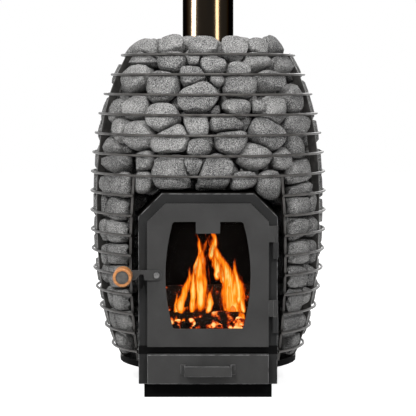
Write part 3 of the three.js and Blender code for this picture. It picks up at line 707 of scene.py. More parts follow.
@dataclass
class Cage:
    """Wire hoops, ribs and posts that hold the stones."""

    belly_radius: float = 277.0
    top_radius: float = 203.3
    foot_radius: float = 228.0
    curve: float = 2.4
    foot: float = 85.0
    belly: float = 410.0
    top: float = 767.5
    wire: float = 3.0
    wire_sides: int = 12
    hoop_steps: int = 160
    hoops: int = 16
    full_hoops: int = 7
    plate_half: float = 2.75
    rib_count: int = 7
    first_rib: float = 72.0
    rib_spacing: float = 36.0
    post_widest: float = 176.05
    post_widest_height: float = 300.0
    post_bow: float = 4200.0
    post_top: float = 497.5
    edge: float = 0.9
    bead: float = 3.4
    bead_shape: tuple[float, float, float] = (1.0, 0.75, 1.15)
    bead_proud: float = 0.4
    solid_facets: int = 40
    wire_gap: float = 0.6

    def radius(self, height: Any) -> Any:
        """Radius of the hoops' curve at a height, or at an array of heights."""
        height = np.asarray(height, float)
        above = height > self.belly
        radius = np.where(above, self.top_radius, self.foot_radius)
        span = np.where(above, self.top - self.belly, self.belly - self.foot)
        reach = span / (1 - (radius / self.belly_radius) ** self.curve) ** (1 / self.curve)
        share = np.clip(np.abs(height - self.belly) / reach, 0, 0.999)
        return self.belly_radius * (1 - share**self.curve) ** (1 / self.curve)

    def inside(self, height: Any) -> Any:
        """Radius that clears the wire on its inside."""
        return (self.radius(height) - self.wire) * math.cos(math.pi / self.solid_facets) - self.wire_gap

    def post_x(self, height: float) -> float:
        """How far out a post stands at a height."""
        return self.post_widest - (height - self.post_widest_height) ** 2 / self.post_bow

    def ribs(self) -> list[float]:
        """Azimuths of the ribs."""
        return [self.first_rib + index * self.rib_spacing for index in range(self.rib_count)]

    def ring(self, number: int) -> tuple[float, float]:
        """Height and radius of a hoop's wire, from its solid."""
        low, high = measured(f"cage_ring_{number:02d}")
        return (low.z + high.z) / 2, high.x - self.wire

    def hoop(self, number: int) -> Shape:
        """One hoop of round wire, which ends at the posts beside the firebox if it isn't whole."""
        height, radius = self.ring(number)
        whole = number <= self.full_hoops
        mouth = 0.0 if whole else math.asin((self.post_x(height) - self.plate_half) / radius)
        shape = bmesh.new()
        wire = bmesh.ops.create_circle(shape, segments=self.wire_sides, radius=self.wire)
        start = Matrix.Rotation(mouth - math.pi / 2, 4, "Z") @ Matrix.Translation((radius, 0, height))
        turn(shape, start @ Matrix.Rotation(math.pi / 2, 4, "X"), wire["verts"])
        bmesh.ops.spin(
            shape,
            geom=wire["verts"] + list(shape.edges),
            cent=(0, 0, 0),
            axis=(0, 0, 1),
            angle=2 * (math.pi - mouth),
            steps=self.hoop_steps,
            use_merge=whole,
            use_duplicate=False,
        )
        bmesh.ops.remove_doubles(shape, verts=shape.verts, dist=WELD)
        if not whole:
            bmesh.ops.holes_fill(shape, edges=shape.edges, sides=0)
        return shape

    def welds(self) -> Shape:
        """Weld beads where the hoops cross the ribs and end at the posts."""
        shape = bmesh.new()
        for number in range(1, self.hoops + 1):
            height, radius = self.ring(number)
            for azimuth in self.ribs():
                out = toward(azimuth)
                side = toward(azimuth + 90)
                for sign in (-1, 1):
                    spot = out * (radius - self.wire) + side * (sign * (self.plate_half + self.bead_proud))
                    self._bead(shape, spot + Vector((0, 0, height)), azimuth)
            if number >= self.full_hoops:
                post = self.post_x(height)
                depth = -math.sqrt((radius - self.wire) ** 2 - post**2)
                for sign in (-1, 1):
                    spot = Vector((sign * post, depth, height))
                    self._bead(shape, spot, math.degrees(math.atan2(spot.x, -spot.y)))
        return shape

    def _bead(self, shape: Shape, spot: Vector, azimuth: float) -> None:
        """Adds one flattened bead."""
        spin = Matrix.Rotation(math.radians(azimuth), 4, "Z")
        matrix = Matrix.Translation(spot) @ spin @ Matrix.Diagonal((*self.bead_shape, 1.0))
        bmesh.ops.create_icosphere(shape, subdivisions=2, radius=self.bead, matrix=matrix)

    def build(self, shop: Workshop) -> None:
        """Makes and places the whole cage."""
        for number in range(1, self.hoops + 1):
            node = f"cage_ring_{number:02d}"
            shop.place(self.hoop(number), f"hoop_{number:02d}", Slot.CAGE, Body.STOVE, [node])
        strip = CageSteel("strip_steel", grey(0.07, 0.05), grey(0.035, 0.05), 0.6).make()
        for index in range(1, self.rib_count + 1):
            shop.dress(f"cage_rib_{index}", Slot.CAGE, Body.STOVE, self.edge, strip)
        for side in ("left", "right"):
            shop.dress(f"cage_post_{side}", Slot.CAGE, Body.STOVE, self.edge, strip)
        shop.place(self.welds(), "cage_welds", Slot.CAGE, Body.STOVE)


class Layer(Enum):
    """Where a stone lies: against the cage, on the heap, or packed behind."""

    SKIN = "skin"
    HEAP = "heap"
    CORE = "core"


@dataclass
class Stone:
    """One loose stone before it is shaped: its middle, its own axes and half sizes."""

    centre: np.ndarray
    axes: np.ndarray
    half: np.ndarray
    layer: Layer
    tone: float

    @property
    def span(self) -> np.ndarray:
        """The stone's own axes, as long as its half sizes."""
        return self.half[:, None] * self.axes

    def support(self, ways: np.ndarray) -> np.ndarray:
        """How far the stone's plain oval reaches along unit directions, one for each row."""
        return np.linalg.norm(ways @ self.span.T, axis=1)


@dataclass(frozen=True)
class FrontStone:
    """A stone above the firebox, as it looks from the front: its middle, its size and its tilt."""

    across: float
    height: float
    width: float
    tall: float
    tilt: float = 0.0


# Read from the photograph, to about 5 mm, from the top of the heap downwards.
FRONT_STONES: tuple[FrontStone, ...] = (
    FrontStone(-150, 775, 45, 25, -10),
    FrontStone(-125, 780, 40, 30),
    FrontStone(-85, 785, 60, 40),
    FrontStone(-10, 780, 75, 40),
    FrontStone(60, 775, 65, 50),
    FrontStone(110, 780, 45, 35),
    FrontStone(150, 780, 45, 35, 10),
    FrontStone(-145, 750, 60, 35, -5),
    FrontStone(-80, 745, 70, 40),
    FrontStone(-30, 755, 25, 25),
    FrontStone(10, 740, 65, 45, 15),
    FrontStone(65, 730, 50, 30),
    FrontStone(110, 745, 85, 35),
    FrontStone(165, 740, 40, 35),
    FrontStone(-160, 710, 70, 60, -25),
    FrontStone(-100, 690, 75, 70),
    FrontStone(-35, 715, 65, 55, 20),
    FrontStone(20, 710, 30, 25),
    FrontStone(70, 695, 85, 60),
    FrontStone(135, 705, 70, 50),
    FrontStone(-160, 645, 50, 55),
    FrontStone(-20, 670, 95, 70, -10),
    FrontStone(-100, 620, 70, 65),
    FrontStone(65, 645, 75, 40, -10),
    FrontStone(45, 610, 100, 35),
    FrontStone(105, 650, 25, 25),
    FrontStone(145, 635, 55, 65),
    FrontStone(-190, 595, 30, 60, 5),
    FrontStone(-155, 580, 65, 70),
    FrontStone(-25, 605, 60, 45, 15),
    FrontStone(-80, 575, 100, 60, -10),
    FrontStone(50, 570, 75, 50),
    FrontStone(130, 585, 85, 70, 30),
    FrontStone(200, 600, 60, 45),
    FrontStone(-210, 555, 45, 40),
    FrontStone(-20, 555, 50, 45, -15),
    FrontStone(-30, 520, 40, 40),
    FrontStone(105, 535, 85, 55),
    FrontStone(160, 530, 35, 50, 10),
    FrontStone(195, 555, 30, 45),
    FrontStone(-210, 515, 60, 45),
    FrontStone(-150, 525, 55, 50),
    FrontStone(-80, 505, 90, 75),
    FrontStone(15, 505, 90, 75),
    FrontStone(200, 500, 60, 60),
    FrontStone(75, 485, 60, 35, -15),
    FrontStone(135, 475, 60, 60),
    FrontStone(-215, 460, 45, 55),
    FrontStone(-190, 470, 35, 50, 10),
    FrontStone(-145, 480, 40, 45),
    FrontStone(205, 455, 50, 40),
)


@dataclass(frozen=True)
class Spread:
    """How a layer's stones are drawn: sizes, most tilt, how close they lie and how many are tried."""

    width: tuple[float, float]
    tall: tuple[float, float]
    depth: tuple[float, float]
    tilt: float
    room: float
    tries: int


@dataclass
class StoneFill:
    """Loose stones in the cage: chosen ones in front, scattered ones round the rest and behind."""

    cage: Cage
    seed: int = 11

    # Solids that the stones keep clear of
    tray_top: float = 60.6
    heap_top: float = 814.0
    box_half: float = 155.0
    box_top: float = 458.5
    box_back: float = 125.0
    box_chamfer: float = 52.0
    flue: float = 63.0
    collar: float = 84.0
    collar_top: float = 512.0
    collar_foot: float = 20.0
    clearance: float = 2.2
    plate_gap: float = 0.8
    plate_reach: float = 90.0
    post_reach: float = 30.0
    rib_overlap: float = 0.4
    post_margin: float = 8.0
    front_margin: float = 24.0

    # Form of one stone
    gap: float = 1.4
    squareness: float = 11.0
    oval: float = 2.6
    swell: float = 1.3
    least_wall: float = 6.0
    least_half: float = 5.0
    neighbours: float = 140.0
    room_reach: float = 120.0
    facets: int = 6
    facet_cut: tuple[float, float] = (0.72, 0.98)
    dent: float = 0.025
    dent_pitch: float = 1.7
    dent_steps: tuple[float, float, float] = (7.3, 3.1, 1.7)

    # Outer stones
    rim: float = 765.0
    crown_rise: float = 52.0
    crown_pull: float = 0.92
    crown_least: float = 0.02
    crown_slope: float = 42.0
    slope_step: float = 2.0
    half_depth: float = 26.0
    slack: float = 3.0
    deepest: float = 64.0
    depth_share: float = 0.45
    depth_spread: float = 8.0
    widest: float = 104.0
    least_facing: float = 0.5
    outer_heights: tuple[float, float] = (84.0, 752.0)
    outer: Spread = Spread((50, 94), (44, 68), (52, 68), 25, 0.66, 9000)

    # Columns beside the firebox: azimuth, width and height of the stones of a row
    column_foot: float = 100.0
    column_pitch: float = 53.0
    column_rows: int = 7
    column_stones: tuple[tuple[float, float, float], ...] = ((56, 76, 60), (66, 36, 56))
    column_shift: float = 6.0
    column_widths: tuple[float, float] = (0.8, 1.1)
    column_turn: float = 2.0
    column_tilt: float = 12.0

    # Big stones behind the columns
    chock_azimuth: float = 102.0
    chock_radius: float = 185.0
    chock_height: float = 400.0
    chock_size: tuple[float, float, float] = (70.0, 70.0, 60.0)
    chock_tone: float = 0.5

    # Heap on top
    heap_radii: tuple[float, float] = (92.0, 172.0)
    heap_sink: float = 3.0
    heap_fall: float = 14.0
    heap_drop: float = 5.0
    heap_lift: float = 88.0
    heap_lean: float = 40.0
    top: Spread = Spread((54, 84), (50, 70), (40, 50), 40, 0.68, 1500)

    # Stones packed behind, from big to small
    core_sizes: tuple[tuple[float, float], ...] = ((44, 70), (30, 42), (22, 29))
    core_foot: float = 60.0
    core_top: float = 772.0
    core_axis: float = 70.0
    core_behind: float = 46.0
    core_touch: float = 0.26
    core_room: float = 0.62
    core_tries: int = 7000

    # Dark gap between the firebox's front and a post, which stays empty
    gap_front: float = -95.0
    gap_half: float = 205.0
    gap_top: float = 40.0

    tiers: tuple[tuple[str, float], ...] = (
        ("stones_lower", 237.2),
        ("stones_middle", 414.0),
        ("stones_upper", 590.8),
        ("stones_crown", 1000.0),
    )
    stones: list[Stone] = field(default_factory=list)
    spots: np.ndarray = field(default_factory=lambda: np.zeros((0, 3)))
    spans: np.ndarray = field(default_factory=lambda: np.zeros((0, 3, 3)))

    def keep(self, stone: Stone) -> None:
        """Adds a stone to those laid."""
        self.stones.append(stone)
        self.spots = np.vstack([self.spots, stone.centre])
        self.spans = np.concatenate([self.spans, stone.span[None]])

    def near(self, stone: Stone, limit: float) -> tuple[np.ndarray, np.ndarray, np.ndarray, np.ndarray]:
        """Stones round one of them.

        Args:
            stone: the one in the middle.
            limit: how far away the others' middles lie at most.

        Returns:
            Their distances, the directions to them, and how far it and they reach along those.
        """
        between = self.spots - stone.centre
        lengths = np.linalg.norm(between, axis=1)
        close = (lengths > 0.001) & (lengths < limit)
        ways = between[close] / lengths[close][:, None]
        theirs = np.linalg.norm(np.einsum("nij,nj->ni", self.spans[close], ways), axis=1)
        return lengths[close], ways, stone.support(ways), theirs

    def seat(self, height: float) -> float:
        """Radius where the middle of a usual outer stone stands."""
        if height <= self.rim:
            return float(self.cage.inside(height)) - self.half_depth
        share = min(1.0, (height - self.rim) / self.crown_rise)
        pull = math.sqrt(max(self.crown_least, 1 - self.crown_pull * share * share))
        return (float(self.cage.inside(self.rim)) - self.half_depth) * pull

    def touching(self, height: float, depth: float) -> float:
        """Radius of the middle of a stone of some depth that touches the cage."""
        return self.seat(height) + self.half_depth - depth * 0.5

    def lay(
        self, azimuth: float, height: float, size: Sequence[float], tilt: float, layer: Layer,
        radius: float, lift: float, tone: float,
    ) -> Stone:
        """One stone, lying with its flat side outwards.

        Args:
            azimuth: degrees from the front.
            height: of its middle.
            size: width, height and depth.
            tilt: degrees that it is turned by in its own plane.
            layer: where it lies.
            radius: of its middle from the cage's axis.
            lift: degrees that its outer face looks up by.
            tone: its shade, from 0 to 1.

        Returns:
            The stone.
        """
        level = toward(azimuth)
        up = Vector((0, 0, 1))
        side = up.cross(level)
        out = level * math.cos(math.radians(lift)) + up * math.sin(math.radians(lift))
        rise = out.cross(side)
        turned = Matrix.Rotation(math.radians(-tilt), 3, out)
        axes = np.array([turned @ side, turned @ rise, out])
        centre = np.array(level * radius + up * height)
        return Stone(centre, axes, np.array(size) / 2 * self.swell, layer, tone)

    def front(self, draw: random.Random) -> None:
        """Lays the chosen stones, each where it looks right from the front."""
        for seen in FRONT_STONES:
            azimuth = math.asin(seen.across / self.seat(seen.height))
            width = min(self.widest, seen.width / max(math.cos(azimuth), self.least_facing))
            self.lean(draw, math.degrees(azimuth), seen.height, width, seen.tall, seen.tilt)

    def columns(self, draw: random.Random) -> None:
        """Lays two columns either side of the firebox, between its posts and the next ribs."""
        shift, twist, tilt = self.column_shift, self.column_turn, self.column_tilt
        for side in (-1, 1):
            for row in range(self.column_rows):
                for azimuth, width, tall in self.column_stones:
                    height = self.column_foot + row * self.column_pitch + draw.uniform(-shift, shift)
                    wide = width * draw.uniform(*self.column_widths)
                    turned = side * azimuth + draw.uniform(-twist, twist)
                    self.lean(draw, turned, height, wide, tall, draw.uniform(-tilt, tilt))

    def chocks(self) -> None:
        """Lays one big stone either side of the firebox, which closes the view along its walls."""
        for side in (-1, 1):
            azimuth, radius = side * self.chock_azimuth, self.chock_radius
            size, tone = self.chock_size, self.chock_tone
            self.keep(self.lay(azimuth, self.chock_height, size, 0, Layer.CORE, radius, 0, tone))

    def lean(
        self, draw: random.Random, azimuth: float, height: float, width: float, tall: float, tilt: float
    ) -> None:
        """Lays a stone against the cage, whatever lies there already."""
        depth = self.depth_share * (width + tall) + draw.uniform(0, self.depth_spread)
        depth = min(self.deepest, depth)
        radius = self.touching(height, depth) - draw.uniform(0.0, self.slack)
        size, lift = (width, tall, depth), self.slope(height)
        self.keep(self.lay(azimuth, height, size, tilt, Layer.SKIN, radius, lift, draw.random()))

    def slope(self, height: float) -> float:
        """Degrees that the cage's skin looks up by at a height."""
        if height > self.rim:
            return self.crown_slope
        step = self.slope_step
        fall = float(self.cage.radius(height - step) - self.cage.radius(height + step)) / (2 * step)
        return math.degrees(math.atan(fall))

    def scatter(self, draw: random.Random) -> None:
        """Lays stones against the rest of the cage wherever there is room."""
        plan = self.outer
        for _ in range(plan.tries):
            azimuth = draw.uniform(-180, 180)
            height = draw.uniform(*self.outer_heights)
            width = draw.uniform(*plan.width)
            tall = draw.uniform(*plan.tall)
            tilt = draw.uniform(-plan.tilt, plan.tilt)
            depth = draw.uniform(*plan.depth)
            tone = draw.random()
            radius = self.touching(height, depth) - draw.uniform(0.0, self.slack)
            if self.blocked(toward(azimuth) * radius, height, width):
                continue
            size, lift = (width, tall, depth), self.slope(height)
            stone = self.lay(azimuth, height, size, tilt, Layer.SKIN, radius, lift, tone)
            if self.room(stone, plan.room):
                self.keep(stone)

    def blocked(self, spot: Vector, height: float, width: float) -> bool:
        """Whether an outer stone's middle falls on a rib, a post or the firebox's front."""
        near = self.rib_overlap * width
        for azimuth in self.cage.ribs():
            if spot.dot(toward(azimuth)) > 0 and abs(spot.dot(toward(azimuth + 90))) < near:
                return True
        post = self.cage.post_x(height)
        if spot.y < 0 and height < self.cage.post_top + self.post_margin and abs(abs(spot.x) - post) < near:
            return True
        return spot.y < 0 and abs(spot.x) < post and height < self.box_top + self.front_margin

    def heap(self, draw: random.Random) -> None:
        """Lays stones over the top, round the flue."""
        plan = self.top
        for _ in range(plan.tries):
            azimuth = draw.uniform(-180, 180)
            radius = draw.uniform(*self.heap_radii)
            width = draw.uniform(*plan.width)
            tall = draw.uniform(*plan.tall)
            depth = draw.uniform(*plan.depth)
            out = (radius / self.heap_radii[1]) ** 2
            height = self.heap_top - depth * 0.5 - self.heap_sink - self.heap_fall * out
            height -= draw.uniform(0, self.heap_drop)
            lift = self.heap_lift - self.heap_lean * out
            tilt = draw.uniform(-plan.tilt, plan.tilt)
            size, tone = (width, tall, depth), draw.random()
            stone = self.lay(azimuth, height, size, tilt, Layer.HEAP, radius, lift, tone)
            if self.room(stone, plan.room):
                self.keep(stone)

    def pack(self, draw: random.Random, small: float, large: float) -> None:
        """Packs plain stones of a range of sizes behind the outer ones."""
        for _ in range(self.core_tries):
            azimuth = draw.uniform(-180, 180)
            height = draw.uniform(self.core_foot + small / 2, self.core_top)
            radius = draw.uniform(self.core_axis, float(self.cage.inside(height)) - self.core_behind)
            tone = draw.random()
            size = [draw.uniform(small, large) for _ in range(3)]
            stone = self.lay(azimuth, height, size, 0, Layer.CORE, radius, 0, tone)
            nearest = min(distance for _, distance in self.walls(stone))
            if nearest <= self.core_touch * small or self.shows(stone.centre):
                continue
            if self.room(stone, self.core_room):
                self.keep(stone)

    def shows(self, spot: np.ndarray) -> bool:
        """Whether a place is seen through the dark gap between the firebox's front and a post."""
        x, y, z = spot
        return y < self.gap_front and abs(x) < self.gap_half and z < self.cage.post_top - self.gap_top

    def room(self, stone: Stone, share: float) -> bool:
        """Whether a stone keeps its distance from all those laid so far."""
        lengths, _, mine, theirs = self.near(stone, self.room_reach)
        return bool(np.all(lengths >= share * (mine + theirs)))

    def walls(self, stone: Stone) -> list[tuple[np.ndarray, float]]:
        """Flat walls that a stone stays inside, as outward normals and distances from its middle."""
        x, y, z = stone.centre
        radius = math.hypot(x, y)
        side = math.copysign(1.0, x)
        slant = math.sqrt(0.5)
        found = [(np.array([0, 0, -1.0]), z - self.tray_top)]
        corner = self.box_half + self.box_top - self.box_chamfer
        choices = [
            (abs(x) - self.box_half, np.array([-side, 0, 0])),
            (z - self.box_top, np.array([0, 0, -1.0])),
            (y - self.box_back, np.array([0, -1.0, 0])),
            ((abs(x) + z - corner) * slant, np.array([-side * slant, 0, -slant])),
        ]
        distance, normal = max(choices, key=lambda choice: choice[0])
        found.append((normal, distance - self.clearance))
        inner = self.collar if z < self.collar_top else self.flue
        if z > self.box_top - self.collar_foot:
            found.append((np.array([-x / radius, -y / radius, 0]), radius - inner - self.clearance))
        if stone.layer is Layer.HEAP:
            found.append((np.array([0, 0, 1.0]), self.heap_top - z))
        if stone.layer is not Layer.SKIN:
            return found
        limit = self.cage.plate_half + self.plate_gap
        for azimuth in self.cage.ribs():
            across = np.array(toward(azimuth + 90))
            offset = float(across @ stone.centre)
            ahead = float(np.array(toward(azimuth)) @ stone.centre) > 0
            if ahead and abs(offset) < self.plate_reach:
                found.append((-math.copysign(1.0, offset) * across, abs(offset) - limit))
        post = self.cage.post_x(min(z, self.cage.post_top))
        aside = abs(abs(x) - post)
        if y < 0 and z < self.cage.post_top + self.post_reach and aside < self.plate_reach:
            way = -side if abs(x) > post else side
            found.append((np.array([way, 0, 0]), aside - limit))
        return found

    def shape(self, shape: Shape, index: int, draw: random.Random) -> None:
        """Adds one stone to a shape, rounded off inside its walls and its neighbours' faces."""
        stone = self.stones[index]
        normals = []
        distances = []
        for normal, distance in self.walls(stone):
            normals.append(normal)
            distances.append(max(distance, self.least_wall))
        lengths, ways, mine, theirs = self.near(stone, self.neighbours)
        normals.extend(ways)
        distances.extend(np.maximum(lengths * mine / (mine + theirs) - self.gap / 2, self.least_half))
        for _ in range(self.facets):
            way = np.array([draw.gauss(0, 1) for _ in range(3)])
            way /= np.linalg.norm(way)
            normals.append(way)
            distances.append(float(stone.support(way[None])[0]) * draw.uniform(*self.facet_cut))
        made = bmesh.ops.create_icosphere(
            shape, subdivisions=2 if stone.layer is Layer.CORE else 3, radius=1.0
        )["verts"]
        rays = np.array([vert.co for vert in made])
        rays /= np.linalg.norm(rays, axis=1)[:, None]
        oval = (np.abs(rays @ stone.axes.T) / stone.half) ** self.oval
        load = oval.sum(1) ** (self.squareness / self.oval)
        facing = np.clip(rays @ np.array(normals).T, 0, None) / np.array(distances)
        load += (facing**self.squareness).sum(1)
        reach = load ** (-1 / self.squareness)
        shift = Vector([index * step for step in self.dent_steps])
        dents = np.array([noise.noise(Vector(ray) * self.dent_pitch + shift) for ray in rays])
        points = stone.centre + rays * (reach * ((1 - self.dent) + self.dent * dents))[:, None]
        radii = np.hypot(points[:, 0], points[:, 1])
        points[:, :2] *= np.minimum(1.0, self.cage.inside(points[:, 2]) / radii)[:, None]
        tone = shape.verts.layers.float["tone"]
        for vert, point in zip(made, points):
            vert.co = point
            vert[tone] = stone.tone

    def build(self, shop: Workshop) -> None:
        """Lays, shapes and places all the stones, one piece for each tier."""
        draw = random.Random(self.seed)
        self.front(draw)
        self.columns(draw)
        self.chocks()
        self.heap(draw)
        self.scatter(draw)
        for small, large in self.core_sizes:
            self.pack(draw, small, large)
        LOG.info("%d stones", len(self.stones))
        floor = 0.0
        for node, ceiling in self.tiers:
            shape = bmesh.new()
            shape.verts.layers.float.new("tone")
            for index, stone in enumerate(self.stones):
                if floor <= stone.centre[2] < ceiling:
                    self.shape(shape, index, draw)
            shop.place(shape, f"loose_{node}", Slot.STONE, Body.STOVE, [node])
            floor = ceiling


@dataclass
class Firebox:
    """Steel firebox on its plinth, with the tray round it and the grate inside."""

    roundings: tuple[tuple[str, Slot, float], ...] = (
        ("base_plinth", Slot.BLACK, 1.5),
        ("stone_tray", Slot.BLACK, 1.0),
        ("firebox_shell", Slot.INNER, 1.6),
        ("firebox_back", Slot.INNER, 1.6),
        ("grate_shelf", Slot.INNER, 0.8),
        ("smoke_baffle", Slot.INNER, 0.8),
        ("fire_grate", Slot.IRON, 1.5),
        ("flue_spigot", Slot.BLACK, 0.8),
        ("hinge_post_upper", Slot.BODY, 0.6),
        ("hinge_post_lower", Slot.BODY, 0.6),
        # the keeper takes the black paint partly as painted shade under the lever
        ("latch_keeper", Slot.BLACK, 0.7),
    )
    frame_edge: float = 1.6
    # heights of the near-black band painted on the frame as painted shade of the gap between the door and
    # the drawer
    gap_shade_band: tuple[float, float] = (0.1, 0.1185)

    def build(self, shop: Workshop) -> None:
        """Dresses each solid of the firebox."""
        for node, slot, width in self.roundings:
            shop.dress(node, slot, Body.STOVE, width)
        # the frame's paint is darker than the door's, partly as painted shade of the door's shadow on it
        paint = PaintedSteel("shaded_frame_steel", grey(0.023), grey(0.13), 0.5, gloss=0.05, slot=self.gap_shade_band)
        shop.dress("front_frame", Slot.BODY, Body.STOVE, self.frame_edge, paint.make())
        for pin in ("hinge_pin_upper", "hinge_pin_lower"):
            shop.paint(pin, Slot.BRIGHT)


@dataclass
class Flue:
    """Round polished pipe with a rolled lip."""

    wall: float = 2.0
    lip: float = 0.8
    steps: int = 128

    def build(self, shop: Workshop) -> None:
        """Turns the pipe."""
        low, high = measured("flue_pipe")
        outer = high.x
        inner = outer - self.wall
        profile = [
            (inner, low.z),
            (outer, low.z),
            (outer, high.z - self.lip),
            (outer - self.lip / 3, high.z - self.lip / 3),
            (outer - self.wall / 2, high.z),
            (inner + self.lip / 3, high.z - self.lip / 3),
            (inner, high.z - self.lip),
        ]
        shape = spun(profile, self.steps, cap=False)
        middle = (low + high) / 2
        turn(shape, Matrix.Translation((middle.x, middle.y, 0)))
        pipe = shop.place(shape, "flue_pipe_polished", Slot.FLUE, Body.STOVE, ["flue_pipe"])
        shop.polished.objects.link(pipe)


@dataclass(frozen=True)
class Tongue:
    """One tongue of flame: where it starts and ends, its width, sway and depth."""

    base: tuple[float, float]
    tip: tuple[float, float]
    width: float
    sway: float
    depth: float


TONGUES: tuple[Tongue, ...] = (
    Tongue((-20, 160), (1, 364), 30, -6, -139),
    Tongue((-9, 272), (-31, 360), 14, 3, -122),
    Tongue((68, 136), (2, 362), 40, 9, -137),
    Tongue((72, 180), (59, 312), 19, 4, -135),
    Tongue((84, 160), (79, 258), 13, -3, -134),
    Tongue((-62, 158), (-33, 288), 25, -9, -138),
    Tongue((-36, 158), (-22, 290), 17, -6, -136),
    Tongue((-76, 142), (-74, 232), 11, 3, -140),
    Tongue((-78, 128), (-76, 178), 13, 2, -166),
    Tongue((70, 128), (74, 200), 24, 4, -164),
    Tongue((-4, 166), (6, 238), 18, 5, -141),
    Tongue((46, 220), (34, 306), 20, -6, -98),
    Tongue((6, 286), (10, 376), 18, 4, -100),
    Tongue((20, 236), (14, 336), 20, 4, -96),
    Tongue((-60, 128), (-57, 174), 15, 2, -166),
    Tongue((-30, 250), (-14, 330), 13, -4, -118),
)


@dataclass
class Fire:
    """Burning logs, a bed of coals and flames."""

    seed: int = 5
    log_yaws: tuple[tuple[str, float], ...] = (("log_front", 2.0), ("log_back", -2.0), ("log_top", 9.0))
    log_radius: float = 30.0
    log_half: float = 115.0
    log_rows: int = 30
    log_steps: int = 40
    knot_pitch: tuple[float, float] = (16.0, 45.0)
    ridge_pitch: tuple[float, float] = (5.0, 30.0)
    log_girth: float = 0.93
    knot_rise: float = 0.06
    ridge_fall: float = 0.14
    end_rough: float = 0.015
    coals: int = 90
    coal_sizes: tuple[float, float] = (7.0, 14.0)
    coal_shape: tuple[float, float, float] = (1.3, 0.9, 0.8)
    coal_sink: float = 0.7
    coal_pile: float = 30.0
    coal_slump: float = 1.5
    front_share: float = 0.7
    front_back: float = -160.0
    behind: tuple[float, float] = (-20.0, 2.0)
    bed_margin: tuple[float, float] = (16.0, 14.0)
    full_turn: float = 6.28
    lump_pitch: float = 9.0
    lump: float = 2.2
    lump_seed: int = 1795612991
    flame_rows: int = 26
    flame_columns: int = 10
    ragged: float = 0.45
    ragged_pitch: tuple[float, float, float] = (6.0, 1.2, 3.7)
    wiggle: float = 0.28
    wiggle_waves: tuple[float, float] = (7.5, 1.9)
    bulge: float = 0.22
    bulge_waves: float = 3.0
    root: float = 0.04
    low_heart: float = 0.72
    leaf_power: float = 0.85
    veiled: float = -150.0
    veil_heat: float = 0.58
    veil_seed: int = 40
    veil_width: float = 1.6
    veil_sway: float = 0.7
    veil_behind: float = 17.0
    veil_aside: float = 0.1
    veil_short: float = 0.06

    def log(self, node: str, yaw: float) -> Shape:
        """Split log with ridged bark and a rough end."""
        low, high = measured(node)
        profile = [(0.0, -self.log_half)]
        for row in range(self.log_rows + 1):
            profile.append((self.log_radius, self.log_half * (2 * row / self.log_rows - 1)))
        profile.append((0.0, self.log_half))
        shape = spun(profile, self.log_steps)
        for vert in shape.verts:
            coarse = self.rough(vert.co, self.knot_pitch, low)
            ridge = abs(self.rough(vert.co, self.ridge_pitch, low))
            shrink = self.log_girth + self.knot_rise * coarse - self.ridge_fall * ridge
            vert.co.x *= shrink
            vert.co.y *= shrink
            vert.co.z *= (1 - self.end_rough) + self.end_rough * coarse
        turned = Matrix.Rotation(math.radians(yaw), 4, "Z") @ Matrix.Rotation(math.pi / 2, 4, "Y")
        turn(shape, Matrix.Translation((low + high) / 2) @ turned)
        return shape

    @staticmethod
    def rough(spot: Vector, pitch: tuple[float, float], shift: Vector) -> float:
        """Noise on a log, with one pitch across it and another along it."""
        across, along = pitch
        return noise.noise(Vector((spot.x / across, spot.y / across, spot.z / along)) + shift)

    def bed(self) -> Shape:
        """Coals heaped on the grate round the logs."""
        draw = random.Random(self.seed)
        low, high = measured("fire_grate")
        side, front = self.bed_margin
        shape = bmesh.new()
        for _ in range(self.coals):
            size = draw.uniform(*self.coal_sizes)
            x = draw.uniform(low.x + side, high.x - side)
            ahead = draw.random() < self.front_share
            y = draw.uniform(*((low.y + front, self.front_back) if ahead else self.behind))
            z = high.z + size * self.coal_sink + draw.uniform(0, 1) ** self.coal_slump * self.coal_pile
            angle = draw.uniform(0, self.full_turn)
            spin = Matrix.Rotation(angle, 4, Vector((draw.random(), draw.random(), 1)))
            matrix = Matrix.Translation((x, y, z)) @ spin @ Matrix.Diagonal((*self.coal_shape, 1.0))
            bmesh.ops.create_icosphere(shape, subdivisions=2, radius=size, matrix=matrix)
        noise.seed_set(self.lump_seed)
        for vert in shape.verts:
            vert.co += Vector(noise.noise_vector(vert.co / self.lump_pitch)) * self.lump
        return shape

    def tongue(self, index: int, flame: Tongue, heat: float) -> Shape:
        """Thin leaf of flame with its across, along and glow attributes."""
        shape = bmesh.new()
        across = shape.verts.layers.float.new("across")
        along = shape.verts.layers.float.new("along")
        glow = shape.verts.layers.float.new("glow")
        bmesh.ops.create_grid(
            shape, x_segments=self.flame_columns, y_segments=self.flame_rows, size=1.0
        )
        for vert in shape.verts:
            side = vert.co.x
            rise = (vert.co.y + 1) / 2
            swell = self.root + (1 - self.root) * rise**self.low_heart
            leaf = max(0.0, math.sin(math.pi * swell)) ** self.leaf_power
            pitch = self.ragged_pitch
            edge = noise.noise(Vector((rise * pitch[0], side * pitch[1], index * pitch[2])))
            ragged = 1 + self.ragged * edge
            wave = math.sin(self.wiggle_waves[0] * rise + index * self.wiggle_waves[1])
            wiggle = self.wiggle * flame.width * wave * rise
            curl = (1 - side * side) * math.sin(self.bulge_waves * rise + index)
            middle = flame.base[0] + (flame.tip[0] - flame.base[0]) * rise
            middle += flame.sway * math.sin(math.pi * rise) + wiggle
            vert[across] = side
            vert[along] = rise
            vert[glow] = heat
            vert.co = (
                middle + side * leaf * ragged * flame.width / 2,
                flame.depth + self.bulge * flame.width * curl,
                flame.base[1] + (flame.tip[1] - flame.base[1]) * rise,
            )
        bmesh.ops.remove_doubles(shape, verts=shape.verts, dist=WELD)
        return shape

